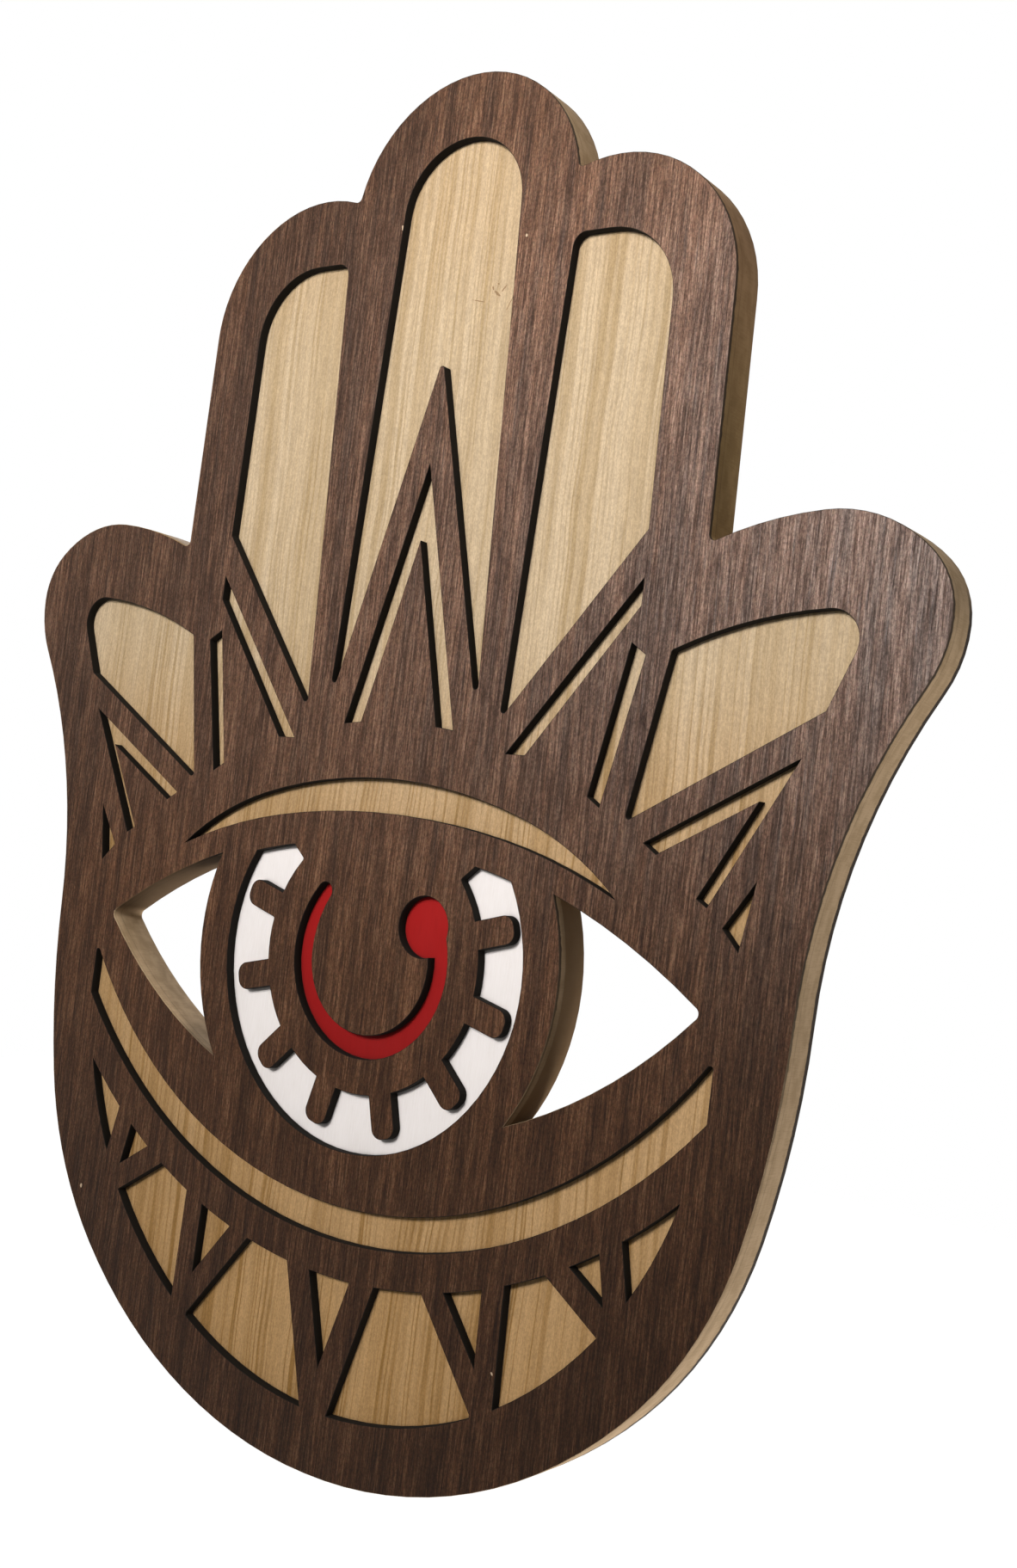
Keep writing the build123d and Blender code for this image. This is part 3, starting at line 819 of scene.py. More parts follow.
class Surface(Graph):
    """Nodes of one material, with its object coordinates and the shared effects at hand."""

    def __init__(self, tree: Tree, effects: Effects) -> None:
        """Begin the material's nodes.

        Args:
            tree: The material's node tree.
            effects: The shared node groups.
        """
        super().__init__(tree)
        self.effects = effects
        self.place = self.add("TexCoord").outputs["Object"]

    def kept(self, kept: Kept) -> Socket:
        """Return a value that is kept at the piece's vertices."""
        return self.add("Attribute", attribute_type="GEOMETRY", attribute_name=kept.value).outputs["Fac"]

    def grain(self, width: float, length: float, waver: float, seed: float) -> dict[str, Socket]:
        """Lay upright grain.

        Args:
            width: Width of a fibre, in millimetres.
            length: Length of a fibre, in millimetres.
            waver: How far the fibres sway sideways, in millimetres.
            seed: Number that sets this grain apart from the others.

        Returns:
            The grain's values, by name.
        """
        inputs = {"Place": self.place, "Fibre Width": width * MM, "Fibre Length": length * MM}
        inputs |= {"Waver": waver * MM, "Seed": seed}
        return {output.name: output for output in self.group(self.effects.grain, inputs).outputs}

    def hazed(self, colour: Feed, scorch: Colour, distance: Kept, reach: float, depth: float) -> Socket:
        """Brown a colour beside the cuts.

        Args:
            colour: The colour.
            scorch: The haze's colour.
            distance: Which distance from the cuts counts.
            reach: Distance over which the haze fades, in millimetres.
            depth: Share of the haze at the cut.

        Returns:
            The browned colour.
        """
        inputs = {"Place": self.place, "Distance": self.kept(distance)}
        inputs |= {"Reach": reach * MM, "Depth": depth}
        return self.mix(self.group(self.effects.scorch, inputs).outputs[0], colour, scorch)

    def marked(self, colour: Feed, fill: Colour, marks: tuple[Mark, ...], share: float = 1.0) -> Socket:
        """Fill small marks into a colour.

        Args:
            colour: The colour.
            fill: The marks' colour.
            marks: The marks.
            share: How much of their colour they show.

        Returns:
            The marked colour.
        """
        for mark in marks:
            inputs = {
                "Place": self.vector("MULTIPLY", self.place, (1, 0, 1)),
                "Middle": (mark.across * MM, 0.0, mark.height * MM),
                "Lean": mark.lean,
                "Half Length": mark.half_length * MM,
                "Half Width": mark.half_width * MM,
            }
            mask = self.group(self.effects.mark, inputs).outputs[0]
            colour = self.mix(self.product(mask, share), colour, fill)
        return colour

    def bump(self, height: Feed, strength: float, depth: float) -> Socket:
        """Return the normal that a height gives, its relief in millimetres."""
        inputs = {"Strength": strength, "Distance": depth * MM, "Height": height}
        return self.add("Bump", inputs).outputs[0]


@dataclass(frozen=True)
class Paint:
    """Finish of a surface. Each kind lays its own nodes."""

    name: str

    def make(self, effects: Effects) -> Material:
        """Make the material.

        Args:
            effects: The shared node groups.

        Returns:
            The material.
        """
        material = bpy.data.materials.new(self.name)
        material.use_nodes = True
        surface = Surface(material.node_tree, effects)
        shader = material.node_tree.nodes["Principled BSDF"]
        for name, value in self.lay(surface).items():
            surface.feed(shader.inputs[name], value)
        return material

    def lay(self, surface: Surface) -> dict[str, Feed]:
        """Lay the finish's nodes.

        Args:
            surface: The material's nodes.

        Returns:
            What the surface shader takes, by the name of its input.
        """
        raise NotImplementedError


@dataclass(frozen=True)
class StainedWood(Paint):
    """Dark walnut stain on a fine, straight-grained face."""

    dark: Colour = (0.045, 0.022, 0.013)
    middle: Colour = (0.086, 0.041, 0.0225)
    light: Colour = (0.141, 0.078, 0.048)
    bare: Colour = (0.50, 0.36, 0.24)
    warm: Colour = (1.0, 0.91, 0.78)
    warmer: tuple[Fade, ...] = (Fade(-190, -120, 1.0, 0.0), Fade(-30, 20, 0.0, 0.5))
    satin: float = 0.6
    satin_upward: tuple[Fade, ...] = (Fade(-230, -60), Fade(0, 60, 1.0, 0.4))
    satin_sideways: Fade = Fade(-140, 140, 0.1)
    # Painted light: the stain darkest at the foot and lightest just below the fingers' tops, as the light
    # falls.
    upward: tuple[Fade, ...] = (
        Fade(-300, -150, 0.5, 0.84),
        Fade(-150, -20, 1.0, 1.4),
        Fade(20, 66, 1.0, 0.84),
    )
    # Painted shade at the left of the fingers, the right of the foot and the rim of the left thumb.
    shaded_places: tuple[tuple[Fade, Fade], ...] = (
        (Fade(-60, 25, 0.38, 0.0), Fade(-130, -30)),
        (Fade(20, 120, 0.0, 0.27), Fade(-210, -110, 1.0, 0.0)),
        (Fade(-150, -105, 0.25, 0.0), Fade(-110, -75, 1.0, 0.0)),
    )
    nicks: tuple[Mark, ...] = (
        Mark(24.4, 15.7, 0.3, 0.5, 0.4),
        Mark(-105.0, -275.0, 0.0, 0.7, 0.5),
        Mark(58.3, -289.5, 0.8, 0.5, 0.3),
        Mark(-21.4, 23.1, 0.2, 0.9, 0.4),
    )

    def lay(self, surface: Surface) -> dict[str, Feed]:
        """Lay fibres, pores and specks, stain them, lay painted light and shade over them, nick them, and
        give them a satin coat.

        Args:
            surface: The material's nodes.

        Returns:
            What the surface shader takes, by the name of its input.
        """
        grain = surface.grain(width=0.42, length=10, waver=3, seed=4.0)
        fibre, pore, speck = grain["Fibre"], grain["Pore"], grain["Speck"]
        across, _, height = surface.axes(surface.place)
        low = surface.mix(surface.spread(fibre, 0.0, 0.5), self.dark, self.middle)
        colour = surface.mix(surface.spread(fibre, 0.5, 1.0), low, self.light)
        colour = surface.mix(surface.product(pore, 0.85), colour, self.dark)
        colour = surface.mix(0.10, colour, grain["Tint"], "OVERLAY")
        colour = surface.times(colour, surface.between(speck, 0.70, 1.34))
        # Figure and fibre, times the painted light and shade over the face.
        figure_and_painted_light = surface.product(
            surface.between(grain["Figure"], 0.70, 1.27),
            surface.between(fibre, 0.86, 1.13),
            self.painted_light_and_shade(surface, across, height),
        )
        colour = surface.times(colour, figure_and_painted_light)
        warmth = surface.total(*(surface.fade(height, change) for change in self.warmer))
        colour = surface.times(colour, self.warm, warmth)
        satin = surface.product(
            *(surface.fade(height, change) for change in self.satin_upward),
            surface.fade(across, self.satin_sideways),
            surface.product(fibre, surface.between(speck, 0.9, 2.0)),
            self.satin,
        )
        relief = surface.math("SUBTRACT", fibre, surface.product(pore, 1.4))
        return {
            "Base Color": surface.marked(colour, self.bare, self.nicks),
            "Coat Weight": satin,
            "Coat Roughness": 0.42,
            "Roughness": surface.between(fibre, 0.5, 0.38),
            "Specular IOR Level": 0.08,
            "Normal": surface.bump(relief, strength=0.35, depth=0.05),
        }

    def painted_light_and_shade(self, surface: Surface, across: Socket, height: Socket) -> Socket:
        """Work out the painted light and shade on the stain.

        It is the product of the changes up the face, painted light that is darkest at the foot and
        lightest just below the fingers' tops, less the share that painted shade takes at the shaded
        places: the left of the fingers, the right of the foot, and the rim of the left thumb.

        Args:
            surface: The material's nodes.
            across: X of the place.
            height: Z of the place.

        Returns:
            What multiplies the stain's colour.
        """
        upright = [surface.fade(height, change) for change in self.upward]
        taken = [
            surface.product(surface.fade(across, sideways), surface.fade(height, upward))
            for sideways, upward in self.shaded_places
        ]
        return surface.product(*upright, surface.rest(surface.total(*taken)))


@dataclass(frozen=True)
class CutEdge(Paint):
    """Laser-cut edge: burnt black in the blind windows, khaki where the cut is open."""

    soot: Colour = (0.010, 0.008, 0.006)
    wood: Colour = (0.31, 0.216, 0.127)
    shade: Colour = (0.24, 0.163, 0.090)
    brown: Colour = (0.132, 0.076, 0.035)
    char: Colour = (0.016, 0.011, 0.008)
    ruddy: Colour = (1.22, 1.02, 0.88)
    olive: Colour = (0.97, 0.86, 0.60)

    def lay(self, surface: Surface) -> dict[str, Feed]:
        """Lay the open cut, and soot where the cut is blind.

        Args:
            surface: The material's nodes.

        Returns:
            What the surface shader takes, by the name of its input.
        """
        inputs = {"Place": surface.place, "Wood": self.wood, "Shade": self.shade, "Brown": self.brown}
        inputs |= {"Char": self.char, "Ruddy": self.ruddy, "Olive": self.olive}
        cut = surface.group(surface.effects.cut, inputs).outputs
        return {
            "Base Color": surface.mix(surface.kept(Kept.OPEN_EDGE), self.soot, cut["Color"]),
            "Roughness": 0.85,
            "Specular IOR Level": 0.1,
            "Normal": surface.bump(cut["Height"], strength=0.3, depth=0.1),
        }


@dataclass(frozen=True)
class LightVeneer(Paint):
    """Pale, straight-grained veneer, warmer toward the foot and browned beside the windows' edges."""

    cream: Colour = (0.476, 0.359, 0.230)
    tan: Colour = (0.415, 0.301, 0.176)
    line: Colour = (0.275, 0.180, 0.076)
    warm: Colour = (0.93, 0.73, 0.48)
    scorch: Colour = (0.10, 0.06, 0.032)
    bark: Colour = (0.17, 0.085, 0.035)
    warmer: tuple[Fade, ...] = (Fade(cad_box[0].z / MM, -160, 0.25, 0.0), Fade(-165, -90, 0.72, 0.0))
    warmer_tips: Fade = Fade(-20, 35, 0.0, 0.2)
    knot: tuple[Mark, ...] = (
        Mark(14.2, 1.2, 0.9, 1.5, 0.45),
        Mark(16.4, 2.3, -0.75, 1.5, 0.28),
        Mark(12.6, 2.8, 0.5, 0.6, 0.35),
        Mark(14.3, 3.9, 1.2, 0.4, 0.22),
        Mark(7.7, -0.4, 1.35, 2.4, 0.16),
        Mark(19.2, -1.9, -0.45, 2.9, 0.16),
    )

    def lay(self, surface: Surface) -> dict[str, Feed]:
        """Lay pale and tan bands, growth lines where a slow noise crosses its middle, and the knot.

        Args:
            surface: The material's nodes.

        Returns:
            What the surface shader takes, by the name of its input.
        """
        grain = surface.grain(width=0.4, length=9, waver=9, seed=9.0)
        fibre = grain["Fibre"]
        height = surface.axes(surface.place)[2]
        sway = surface.noise(surface.place, (50, 50, 70), detail=2, seed=4.0)
        sway = surface.add("CombineXYZ", {"X": surface.product(sway, 7 * MM)}).outputs[0]
        swayed = surface.vector("ADD", surface.place, sway)
        growth = surface.noise(swayed, (2.9, 2.9, 800), detail=1, roughness=0.4, seed=6.0)
        from_middle = surface.math("ABSOLUTE", surface.math("SUBTRACT", growth, 0.5))
        ridge = surface.spread(from_middle, 0.0, 0.07, 1.0, 0.0)
        patch = surface.noise(surface.place, (5, 5, 60), detail=1, seed=2.0)
        warmth = surface.total(*(surface.fade(height, change) for change in self.warmer))
        stronger = surface.total(surface.product(warmth, 0.5), 0.6)
        strength = surface.product(surface.spread(patch, 0.3, 0.7, 0.3, 1.0), stronger)
        bands = surface.noise(swayed, (7, 7, 500), detail=2, seed=3.0)
        colour = surface.mix(surface.spread(bands, 0.35, 0.65), self.cream, self.tan)
        colour = surface.mix(surface.product(ridge, strength), colour, self.line)
        speck = surface.between(grain["Speck"], 0.88, 1.12)
        colour = surface.times(colour, surface.product(surface.between(fibre, 0.90, 1.10), speck))
        warmth = surface.total(warmth, surface.fade(height, self.warmer_tips))
        colour = surface.times(colour, self.warm, warmth)
        colour = surface.hazed(colour, self.scorch, Kept.WINDOW_DISTANCE, reach=0.35, depth=0.4)
        return {
            "Base Color": surface.marked(colour, self.bark, self.knot, share=0.72),
            "Roughness": surface.between(fibre, 0.66, 0.54),
            "Specular IOR Level": 0.12,
            "Normal": surface.bump(fibre, strength=0.2, depth=0.04),
        }


@dataclass(frozen=True)
class PaintedWood(Paint):
    """Thin matt paint over wood, its grain just telegraphing through."""

    colour: Colour = (0.86, 0.80, 0.77)
    thin: Colour = (0.70, 0.62, 0.56)
    scorch: Colour = (0.06, 0.04, 0.03)
    grain_share: float = 0.25
    haze: float = 0.45
    # Painted shade: the paint darker toward the foot, as in the fretwork's shadow; the default leaves
    # none.
    shade: Fade = Fade(-222, -165, 1.0, 1.0)

    def lay(self, surface: Surface) -> dict[str, Feed]:
        """Lay the paint, thinner along the fibres, darker toward the foot as painted shade, and browned
        beside the windows' edges.

        Args:
            surface: The material's nodes.

        Returns:
            What the surface shader takes, by the name of its input.
        """
        fibre = surface.grain(width=0.5, length=7, waver=3, seed=15.0)["Fibre"]
        height = surface.axes(surface.place)[2]
        patch = surface.noise(surface.place, (6, 6, 11), detail=3, seed=8.0)
        share = surface.product(fibre, patch, 2 * self.grain_share)
        colour = surface.mix(share, self.colour, self.thin)
        # Painted shade toward the foot.
        colour = surface.times(colour, surface.fade(height, self.shade))
        colour = surface.hazed(colour, self.scorch, Kept.WINDOW_DISTANCE, reach=0.35, depth=self.haze)
        return {
            "Base Color": colour,
            "Roughness": surface.spread(patch, 0.3, 0.7, 0.55, 0.7),
            "Specular IOR Level": 0.12,
            "Normal": surface.bump(fibre, strength=0.2, depth=0.05),
        }


@dataclass(frozen=True)
class BoardBack(Paint):
    """Bare board, hazed brown along its cut edges."""

    wood: Colour = (0.40, 0.27, 0.155)
    shade: Colour = (0.29, 0.185, 0.098)
    scorch: Colour = (0.09, 0.055, 0.03)

    def lay(self, surface: Surface) -> dict[str, Feed]:
        """Lay coarse grain and its haze.

        Args:
            surface: The material's nodes.

        Returns:
            What the surface shader takes, by the name of its input.
        """
        grain = surface.grain(width=1.1, length=30, waver=14, seed=21.0)
        fibre = grain["Fibre"]
        figure = surface.product(grain["Figure"], 0.55)
        tone = surface.total(surface.product(fibre, 0.45), figure)
        colour = surface.mix(tone, self.shade, self.wood)
        colour = surface.mix(surface.product(grain["Pore"], 0.5), colour, self.scorch)
        return {
            "Base Color": surface.hazed(colour, self.scorch, Kept.EDGE_DISTANCE, reach=2.4, depth=0.75),
            "Roughness": surface.between(fibre, 0.8, 0.68),
            "Normal": surface.bump(fibre, strength=0.3, depth=0.08),
        }


@dataclass(frozen=True)
class PlatedSteel(Paint):
    """Zinc-plated or brassed steel with fine rub marks and dull spots."""

    bright: Colour = (0.52, 0.51, 0.49)
    dull: Colour = (0.30, 0.29, 0.27)
    polish: float = 0.32

    def lay(self, surface: Surface) -> dict[str, Feed]:
        """Lay the plating, rougher in its dull spots.

        Args:
            surface: The material's nodes.

        Returns:
            What the surface shader takes, by the name of its input.
        """
        rub = surface.noise(surface.place, (4, 0.15, 0.15), detail=3, seed=3.0)
        spot = surface.noise(surface.place, (1.6, 1.6, 1.6), detail=4, roughness=0.65, seed=12.0)
        dulled = surface.spread(spot, 0.45, 0.7)
        rough = surface.spread(rub, 0.3, 0.7, self.polish - 0.06, self.polish + 0.1)
        return {
            "Base Color": surface.mix(dulled, self.bright, self.dull),
            "Roughness": surface.total(rough, surface.product(dulled, 0.2)),
            "Metallic": 1.0,
            "Normal": surface.bump(rub, strength=0.25, depth=0.02),
        }


@dataclass(frozen=True)
class PadRubber(Paint):
    """Dark soft rubber with a dusty bloom."""

    rubber: Colour = (0.035, 0.034, 0.033)
    bloom: Colour = (0.11, 0.105, 0.10)

    def lay(self, surface: Surface) -> dict[str, Feed]:
        """Lay dust and fine pits.

        Args:
            surface: The material's nodes.

        Returns:
            What the surface shader takes, by the name of its input.
        """
        dust = surface.noise(surface.place, (1.1, 1.1, 1.1), detail=5, roughness=0.6, seed=4.0)
        pits = surface.noise(surface.place, (0.25, 0.25, 0.25), detail=2, seed=6.0)
        return {
            "Base Color": surface.mix(surface.spread(dust, 0.45, 0.75), self.rubber, self.bloom),
            "Roughness": surface.spread(dust, 0.3, 0.7, 0.55, 0.8),
            "Normal": surface.bump(pits, strength=0.2, depth=0.04),
        }


class Finishes:
    """Every material of the ornament, made once."""

    def __init__(self, effects: Effects) -> None:
        """Make them all.

        Args:
            effects: The shared node groups.
        """
        red = {"colour": (0.34, 0.0070, 0.0066), "thin": (0.23, 0.006, 0.0055)}
        red |= {"scorch": (0.02, 0.005, 0.004), "grain_share": 0.3, "haze": 0.5}
        # The red paint's painted shade, darker toward the foot.
        red["shade"] = Fade(-222, -165, 0.76)
        brass = {"bright": (0.70, 0.56, 0.30), "dull": (0.42, 0.31, 0.15), "polish": 0.28}
        self.stain = StainedWood("dark_stained_wood").make(effects)
        self.edge = CutEdge("cut_edge").make(effects)
        self.veneer = LightVeneer("light_veneer").make(effects)
        self.board = BoardBack("board_wood").make(effects)
        self.white = PaintedWood("white_painted_wood").make(effects)
        self.red = PaintedWood("red_painted_wood", **red).make(effects)
        self.hanger = PlatedSteel("hanger_steel").make(effects)
        self.screw = PlatedSteel("screw_steel", **brass).make(effects)
        self.rubber = PadRubber("bumper_rubber").make(effects)


def settle(piece: Piece, nodes: tuple[str, ...]) -> None:
    """Seat a finished piece on the body, in place of its nodes.

    Args:
        piece: The piece.
        nodes: Names of the nodes that it stands for.
    """
    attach(piece, BODY)
    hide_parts(*nodes)
    log.info("%s: %d faces, stands for %s", piece.name, len(piece.data.polygons), ", ".join(nodes))


def rounded_rows(
    front: float, back: float, front_round: float, back_round: float, steps: int = 3
) -> Array:
    """Work out the section of a cut edge, from its front arris to its back one.

    Each arris is a quarter circle: inset = radius (1 - sin t), depth = radius (1 - cos t), with t
    from nothing to a quarter turn. A radius of zero leaves one sharp row.

    Args:
        front: Y of the front face.
        back: Y of the back face.
        front_round: Radius of the front arris.
        back_round: Radius of the back arris.
        steps: Facets of a rounded arris.

    Returns:
        Inset and Y of each row.
    """
    turn = np.linspace(0, np.pi / 2, steps + 1)
    inset, depth = 1 - np.sin(turn), 1 - np.cos(turn)
    first = np.stack([front_round * inset, front + front_round * depth], axis=1)
    last = np.stack([back_round * inset, back - back_round * depth], axis=1)[::-1]
    return np.concatenate([first if front_round else first[-1:], last if back_round else last[:1]])


@dataclass(frozen=True)
class Cuts:
    """Rims that the finishes heed: the blind windows before the panels, and the board's open cuts."""

    blind: Rim
    through: Rim


@dataclass
class CutSheet:
    """One flat sheet with rounded arrises, made from the outline and the depths of a node.

    Attributes:
        node: Node that the sheet stands for.
        slot: The record's material slot; not used.
        front_round: Radius of the front arris.
        back_round: Radius of the back arris.
        spacing: Step between the points that carry the values beside the edges.
        insets: Distances from the edges at which those points lie, on the back face.
        rim: The node's own rim.
        front: Y of the front face.
        back: Y of the back face.
    """

    node: str
    slot: str
    front_round: float = 0.0
    back_round: float = 0.0
    spacing: float = 2.5 * MM
    insets: tuple[float, ...] = ()
    rim: Rim = field(init=False)
    front: float = field(init=False)
    back: float = field(init=False)

    def __post_init__(self) -> None:
        """Read the depths and the rim from the frame."""
        low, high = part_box(self.node)
        self.front, self.back = low.y, high.y
        self.rim = Rim.of_node(self.node, self.front)

    def values(self, places: Array, cuts: Cuts) -> dict[Kept, Array]:
        """Work out the values kept at points of the sheet.

        Args:
            places: X and Z of the points.
            cuts: The ornament's cuts.

        Returns:
            Each kind of value, one number for each point.
        """
        to_window = cuts.blind.distance(places)
        return {
            Kept.EDGE_DISTANCE: self.rim.distance(places),
            Kept.WINDOW_DISTANCE: to_window,
            Kept.OPEN_EDGE: (cuts.through.distance(places) <= to_window).astype(float),
        }

    def make(self, name: str, cuts: Cuts, finishes: list[Material]) -> Piece:
        """Make the piece: two flat faces, and walls carried along every edge of the rim.

        A row of the wall is the rim moved into the wood by the row's inset, at the row's depth.

        Args:
            name: Name of the piece.
            cuts: The ornament's cuts.
            finishes: Materials of the faces and of the edges.

        Returns:
            The piece.
        """
        rows = rounded_rows(self.front, self.back, self.front_round, self.back_round)
        draft = MeshDraft()
        on_rim = self.values(self.rim.points, cuts) | {Kept.EDGE_DISTANCE: 0.0}
        starts = [
            draft.add_points(self.rim.moved(inset).points, depth, on_rim, row in (0, len(rows) - 1))
            for row, (inset, depth) in enumerate(rows)
        ]
        for upper, lower in zip(starts, starts[1:]):
            draft.add_wall(self.rim.edges, upper, lower)
        for row, turned in ((0, False), (-1, True)):
            self.add_face(draft, starts[row], rows[row], turned, cuts)
        piece = draft.build(name, finishes)
        settle(piece, (self.node,))
        return piece

    def inner(self, windows: Rim, turned: bool) -> tuple[Array, Rim | None]:
        """Work out what a face has inside its rim.

        Args:
            windows: Rim of the blind windows; not used.
            turned: True for the back face.

        Returns:
            Points that carry values, and lines that the triangles follow.
        """
        if turned and self.insets:
            return self.rim.rings(self.spacing, np.array(self.insets)), None
        return np.empty((0, 2)), None

    def add_face(self, draft: MeshDraft, start: int, row: Array, turned: bool, cuts: Cuts) -> None:
        """Fill one flat face of the sheet.

        Args:
            draft: Mesh that is being made.
            start: Place of the face's first rim point in the draft.
            row: Inset and depth of that rim.
            turned: True for the back face.
            cuts: The ornament's cuts.
        """
        inset, depth = row
        points, triangles = filled(self.rim.moved(inset), *self.inner(cuts.blind, turned))
        count = len(self.rim.points)
        inner = points[count:]
        added = draft.add_points(inner, depth, self.values(inner, cuts)) if len(inner) else 0
        place = np.concatenate([start + np.arange(count), added + np.arange(len(inner))])
        faces = place[triangles]
        draft.add_faces(faces[:, ::-1] if turned else faces, Finish.FACE)


@dataclass
class Panel(CutSheet):
    """Sheet behind the windows, which keeps its distance from their edges for the scorch."""

    window_insets: tuple[float, ...] = (-0.3 * MM, -0.7 * MM, -1.6 * MM)

    def inner(self, windows: Rim, turned: bool) -> tuple[Array, Rim | None]:
        """Follow the edges of the windows before this panel, and spread points beside them.

        Args:
            windows: Rim of the blind windows.
            turned: True for the back face, which stays plain.

        Returns:
            Points that carry values, and lines that the triangles follow.
        """
        on_panel = self.rim.holds(windows.middles)
        if turned or not on_panel.any():
            return np.empty((0, 2)), None
        before = windows.only(on_panel)
        places = before.rings(self.spacing, np.array(self.window_insets))
        return places[self.rim.holds(places)], before


@dataclass
class Board:
    """The stack of sheets: fretwork in front, panels behind its windows, and the core board."""

    arris: float = 0.15 * MM
    back_arris: float = 0.3 * MM
    haze_insets: tuple[float, ...] = (1 * MM, 3 * MM, 7 * MM)
    touch: float = 0.05 * MM

    def make(self, finishes: Finishes) -> list[Piece]:
        """Make every sheet.

        Args:
            finishes: The materials.

        Returns:
            The pieces, from the front to the back.
        """
        core = CutSheet("core_board", "board_wood", back_round=self.back_arris, insets=self.haze_insets)
        fretwork = CutSheet("front_fretwork", "dark_stained_wood", front_round=self.arris)
        blind = core.rim.distance(fretwork.rim.middles) >= self.touch
        cuts = Cuts(fretwork.rim.only(blind), core.rim)
        return [
            sheet.make(name, cuts, [face, finishes.edge])
            for sheet, name, face in (
                (fretwork, "fretwork_sheet", finishes.stain),
                (Panel("face_veneer", "light_veneer"), "veneer_panel", finishes.veneer),
                (Panel("iris_inset", "white_painted_wood"), "iris_panel", finishes.white),
                (Panel("pupil_inset", "red_painted_wood"), "pupil_panel", finishes.red),
                (core, "core_sheet", finishes.board),
            )
        ]


@dataclass
class Hanging:
    """Hanger, screws and wall pads on the back of the board."""

    hanger_bevel: float = 0.12 * MM
    screw_bevel: float = 0.08 * MM
    bevel_steps: int = 2
    pad_steps: int = 64
    pad_edge: float = 1.1 * MM
    pad_edge_steps: int = 8
    pad_chamfer: float = 0.25 * MM
    pad_flat: float = 0.55

    def make(self, finishes: Finishes) -> list[Piece]:
        """Make the pieces.

        Args:
            finishes: The materials.

        Returns:
            The hanger, the screws and the pads.
        """
        hanger, screw = (finishes.hanger, self.hanger_bevel), (finishes.screw, self.screw_bevel)
        return [
            self.soften("sawtooth_hanger", "hanger_strip", "hanger_steel", *hanger),
            self.soften("hanger_screws", "hanger_screw_pair", "screw_steel", *screw),
            self.make_pads(finishes.rubber),
        ]

    def soften(self, node: str, name: str, slot: str, material: Material, width: float) -> Piece:
        """Copy a node, merge its corners and round its sharp edges.

        Args:
            node: Node to copy.
            name: Name of the piece.
            slot: The record's material slot; not used.
            material: Its finish.
            width: Width of the rounding.

        Returns:
            The piece.
        """
        shape = bmesh.new()
        shape.from_mesh(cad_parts[node].data)
        bmesh.ops.remove_doubles(shape, verts=shape.verts, dist=MERGE_DISTANCE)
        bmesh.ops.dissolve_limit(shape, angle_limit=FLAT_ANGLE, verts=shape.verts, edges=shape.edges)
        mesh = bpy.data.meshes.new(name)
        shape.to_mesh(mesh)
        shape.free()
        mesh.materials.clear()
        mesh.materials.append(material)
        mesh.shade_smooth()
        piece = placed(name, mesh)
        rounding = piece.modifiers.new("rounded_edges", "BEVEL")
        rounding.width, rounding.segments = width, self.bevel_steps
        rounding.limit_method, rounding.angle_limit = "ANGLE", SMOOTH_ANGLE
        rounding.use_clamp_overlap = True
        rounding.harden_normals = True
        settle(piece, (node,))
        return piece

    def make_pads(self, material: Material) -> Piece:
        """Turn the two pads: flat discs, round at the wall side's edge and chamfered at the board's.

        A pad is a grid of turn and profile: x = centre + r cos a, z = centre + r sin a, y from the
        profile, which runs from the middle of the wall side, round the shoulder, to the board.

        Args:
            material: The rubber.

        Returns:
            The piece, with both pads.
        """
        low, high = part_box("wall_bumpers")
        radius = (high.z - low.z) / 2
        shoulder = np.linspace(0, np.pi / 2, self.pad_edge_steps + 1)
        reach = radius - self.pad_edge * (1 - np.sin(shoulder))
        depth = high.y - self.pad_edge * (1 - np.cos(shoulder))
        wall_side = [[0.0, high.y], [self.pad_flat * radius, high.y]]
        board_side = [[radius, low.y + self.pad_chamfer], [radius - self.pad_chamfer, low.y], [0.0, low.y]]
        profile = np.concatenate([wall_side, np.stack([reach, depth], axis=1), board_side])
        turn = np.arange(self.pad_steps) * 2 * np.pi / self.pad_steps
        middles = np.array([low.x + radius, high.x - radius])
        grid = np.empty((2, len(profile), len(turn), 3))
        grid[..., 0] = middles[:, None, None] + profile[:, :1] * np.cos(turn)
        grid[..., 1] = profile[:, 1:]
        grid[..., 2] = (low.z + high.z) / 2 + profile[:, :1] * np.sin(turn)
        index = np.arange(grid[..., 0].size).reshape(grid.shape[:3])
        ahead = np.roll(index, -1, axis=2)
        quads = np.stack([index[:, :-1], index[:, 1:], ahead[:, 1:], ahead[:, :-1]], axis=3).reshape(-1, 4)
        mesh = bpy.data.meshes.new("wall_pads")
        mesh.from_pydata(grid.reshape(-1, 3).tolist(), [], quads.tolist())
        shape = bmesh.new()
        shape.from_mesh(mesh)
        bmesh.ops.remove_doubles(shape, verts=shape.verts, dist=MERGE_DISTANCE)
        bmesh.ops.recalc_face_normals(shape, faces=shape.faces)
        shape.to_mesh(mesh)
        shape.free()
        mesh.materials.append(material)
        mesh.shade_smooth()
        mesh.set_sharp_from_angle(angle=SMOOTH_ANGLE)
        piece = placed("wall_pads", mesh)
        settle(piece, ("wall_bumpers",))
        return piece


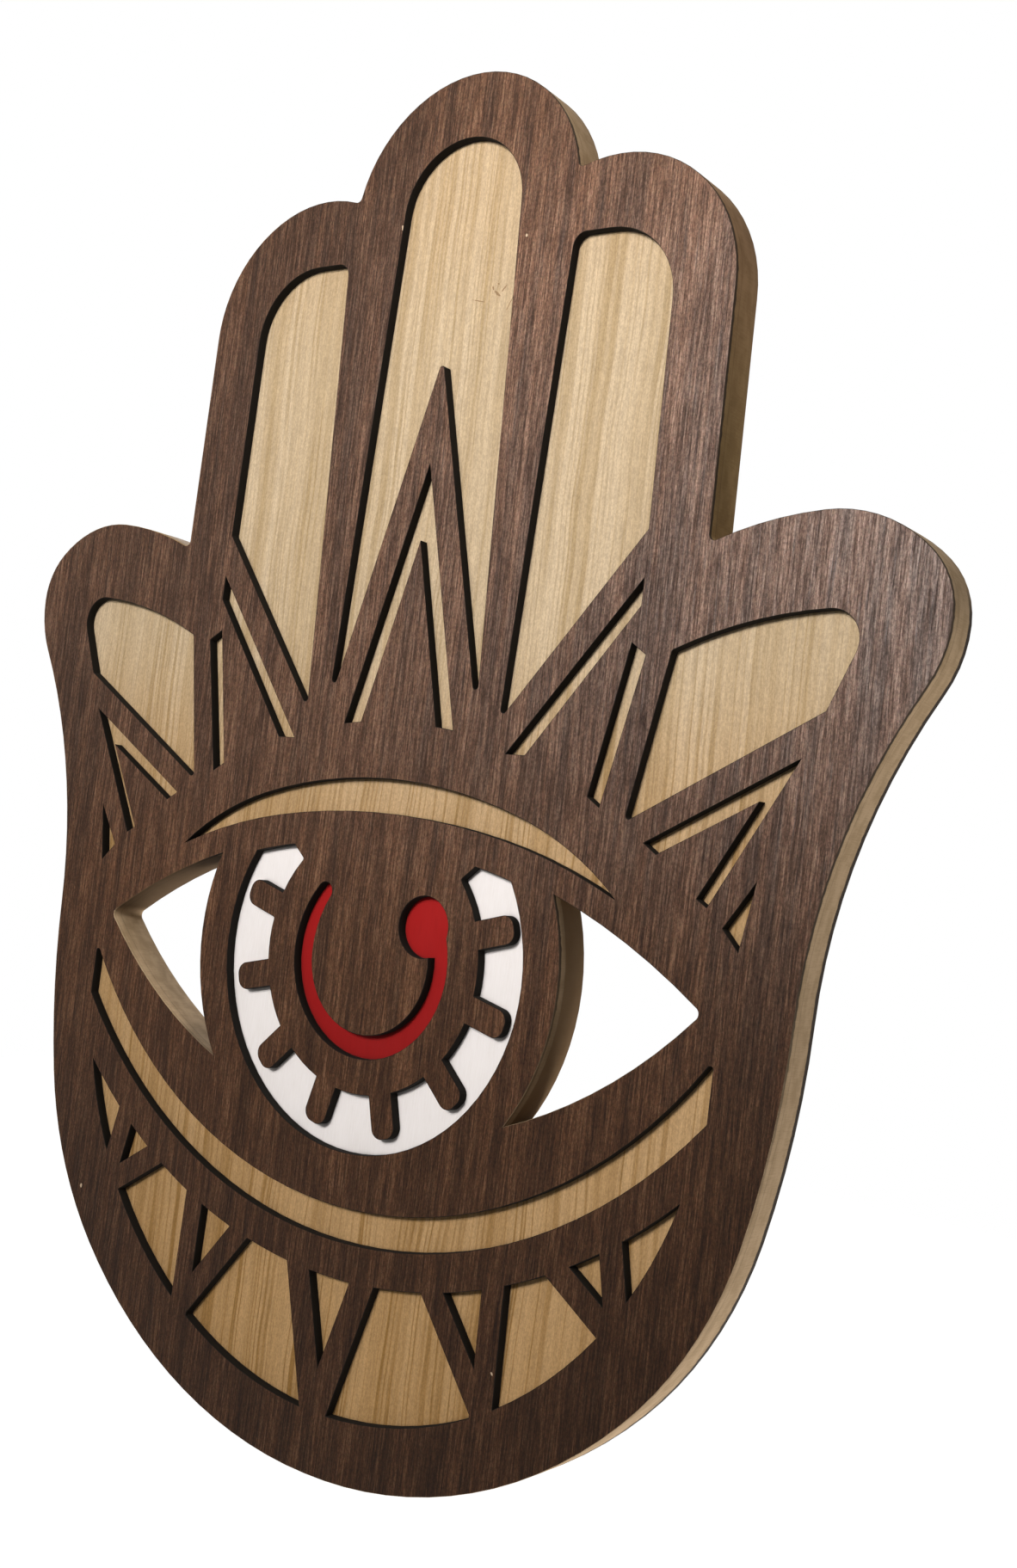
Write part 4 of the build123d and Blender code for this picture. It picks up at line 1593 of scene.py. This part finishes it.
@dataclass(frozen=True)
class Lamp:
    """Square soft lamp: its place, its aim, its side, its power and the angle of its beam."""

    name: str
    place: Triple
    aim: Triple
    side: float
    power: float
    beam: float = radians(180)

    def make(self) -> None:
        """Hang the lamp and turn it to its aim."""
        light = bpy.data.lights.new(self.name, "AREA")
        light.size, light.energy, light.spread = self.side, self.power, self.beam
        lamp = placed(self.name, light)
        lamp.location = self.place
        lamp.rotation_euler = (Vector(self.aim) - Vector(self.place)).to_track_quat("-Z", "Y").to_euler()


@dataclass
class Studio:
    """Camera, lamps, white surroundings and pale floor."""

    camera_place: Triple = (0.3111, -0.3883, -0.1563)
    camera_turn: Triple = (radians(92.432), radians(-6.933), radians(35.565))
    camera_lens: float = 39.475
    camera_sensor: float = 36.0
    camera_nearest: float = 0.01
    camera_farthest: float = 50.0
    floor_drop: float = 1.0
    floor_half: float = 6.0
    floor_colour: Colour = (0.86, 0.86, 0.85)
    floor_roughness: float = 0.9
    floor_glow: float = 0.92
    ambient: float = 0.10
    lamps: tuple[Lamp, ...] = (
        Lamp("key_lamp", (0.02, -1.18, 0.26), (0.05, 0.0, 0.12), 0.32, 2.65, radians(62)),
        Lamp("front_lamp", (-0.34, -1.0, 0.12), (0.05, 0.0, -0.06), 0.4, 1.0),
        Lamp("low_lamp", (0.42, 0.18, -1.02), (0.12, 0.0, -0.15), 0.5, 11.5),
        Lamp("right_lamp", (0.92, -0.10, 0.66), (0.12, 0.0, -0.08), 0.5, 5.4),
        Lamp("back_lamp", (-0.80, 0.95, 0.55), (0.0, 0.0, -0.13), 0.5, 15.0),
    )

    def make(self) -> None:
        """Set up everything that isn't part of the ornament."""
        self.make_camera()
        for lamp in self.lamps:
            lamp.make()
        self.make_world()
        self.make_floor()
        bpy.context.scene.view_settings.view_transform = "Standard"

    def make_camera(self) -> None:
        """Put the camera where the photograph was taken."""
        camera = bpy.data.cameras.new("camera")
        camera.lens, camera.sensor_width = self.camera_lens, self.camera_sensor
        camera.clip_start, camera.clip_end = self.camera_nearest, self.camera_farthest
        stand = placed("camera", camera)
        stand.location, stand.rotation_euler = self.camera_place, self.camera_turn
        bpy.context.scene.camera = stand

    def make_world(self) -> None:
        """Light the ornament softly from all round, and show white to the camera and in reflections."""
        world = bpy.data.worlds.new("surroundings")
        bpy.context.scene.world = world
        world.use_nodes = True
        graph = Graph(world.node_tree)
        background = world.node_tree.nodes["Background"].inputs
        graph.feed(background["Color"], WHITE)
        brighter = graph.product(self.seen(graph), 1.0 - self.ambient)
        graph.feed(background["Strength"], graph.total(brighter, self.ambient))

    def seen(self, graph: Graph) -> Socket:
        """Return 1 for rays from the camera and for mirrored and transmitted ones."""
        rays = graph.add("LightPath").outputs
        return graph.most(*(rays[f"Is {kind} Ray"] for kind in ("Glossy", "Transmission", "Camera")))

    def make_floor(self) -> None:
        """Lay a pale floor below the ornament, which keeps its shadow."""
        height = cad_box[0].z - self.floor_drop
        corners = self.floor_half * np.array([[-1, -1], [1, -1], [1, 1], [-1, 1]])
        mesh = bpy.data.meshes.new("floor")
        mesh.from_pydata([(x, y, height) for x, y in corners.tolist()], [], [(0, 1, 2, 3)])
        material = bpy.data.materials.new("pale_floor")
        material.use_nodes = True
        graph = Graph(material.node_tree)
        shader = material.node_tree.nodes["Principled BSDF"].inputs
        graph.feed(shader["Base Color"], self.floor_colour)
        graph.feed(shader["Roughness"], self.floor_roughness)
        graph.feed(shader["Emission Color"], WHITE)
        graph.feed(shader["Emission Strength"], graph.product(self.seen(graph), self.floor_glow))
        mesh.materials.append(material)
        floor = placed("floor", mesh)


def main() -> None:
    """Build the studio and the ornament's pieces in order, and report each piece."""
    logging.basicConfig(level=logging.INFO, format="%(name)s: %(message)s")
    Studio().make()
    finishes = Finishes(Effects())
    pieces = Board().make(finishes) + Hanging().make(finishes)
    log.info("%d pieces stand for %d nodes", len(pieces), len(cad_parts))


if __name__ == "__main__":
    main()
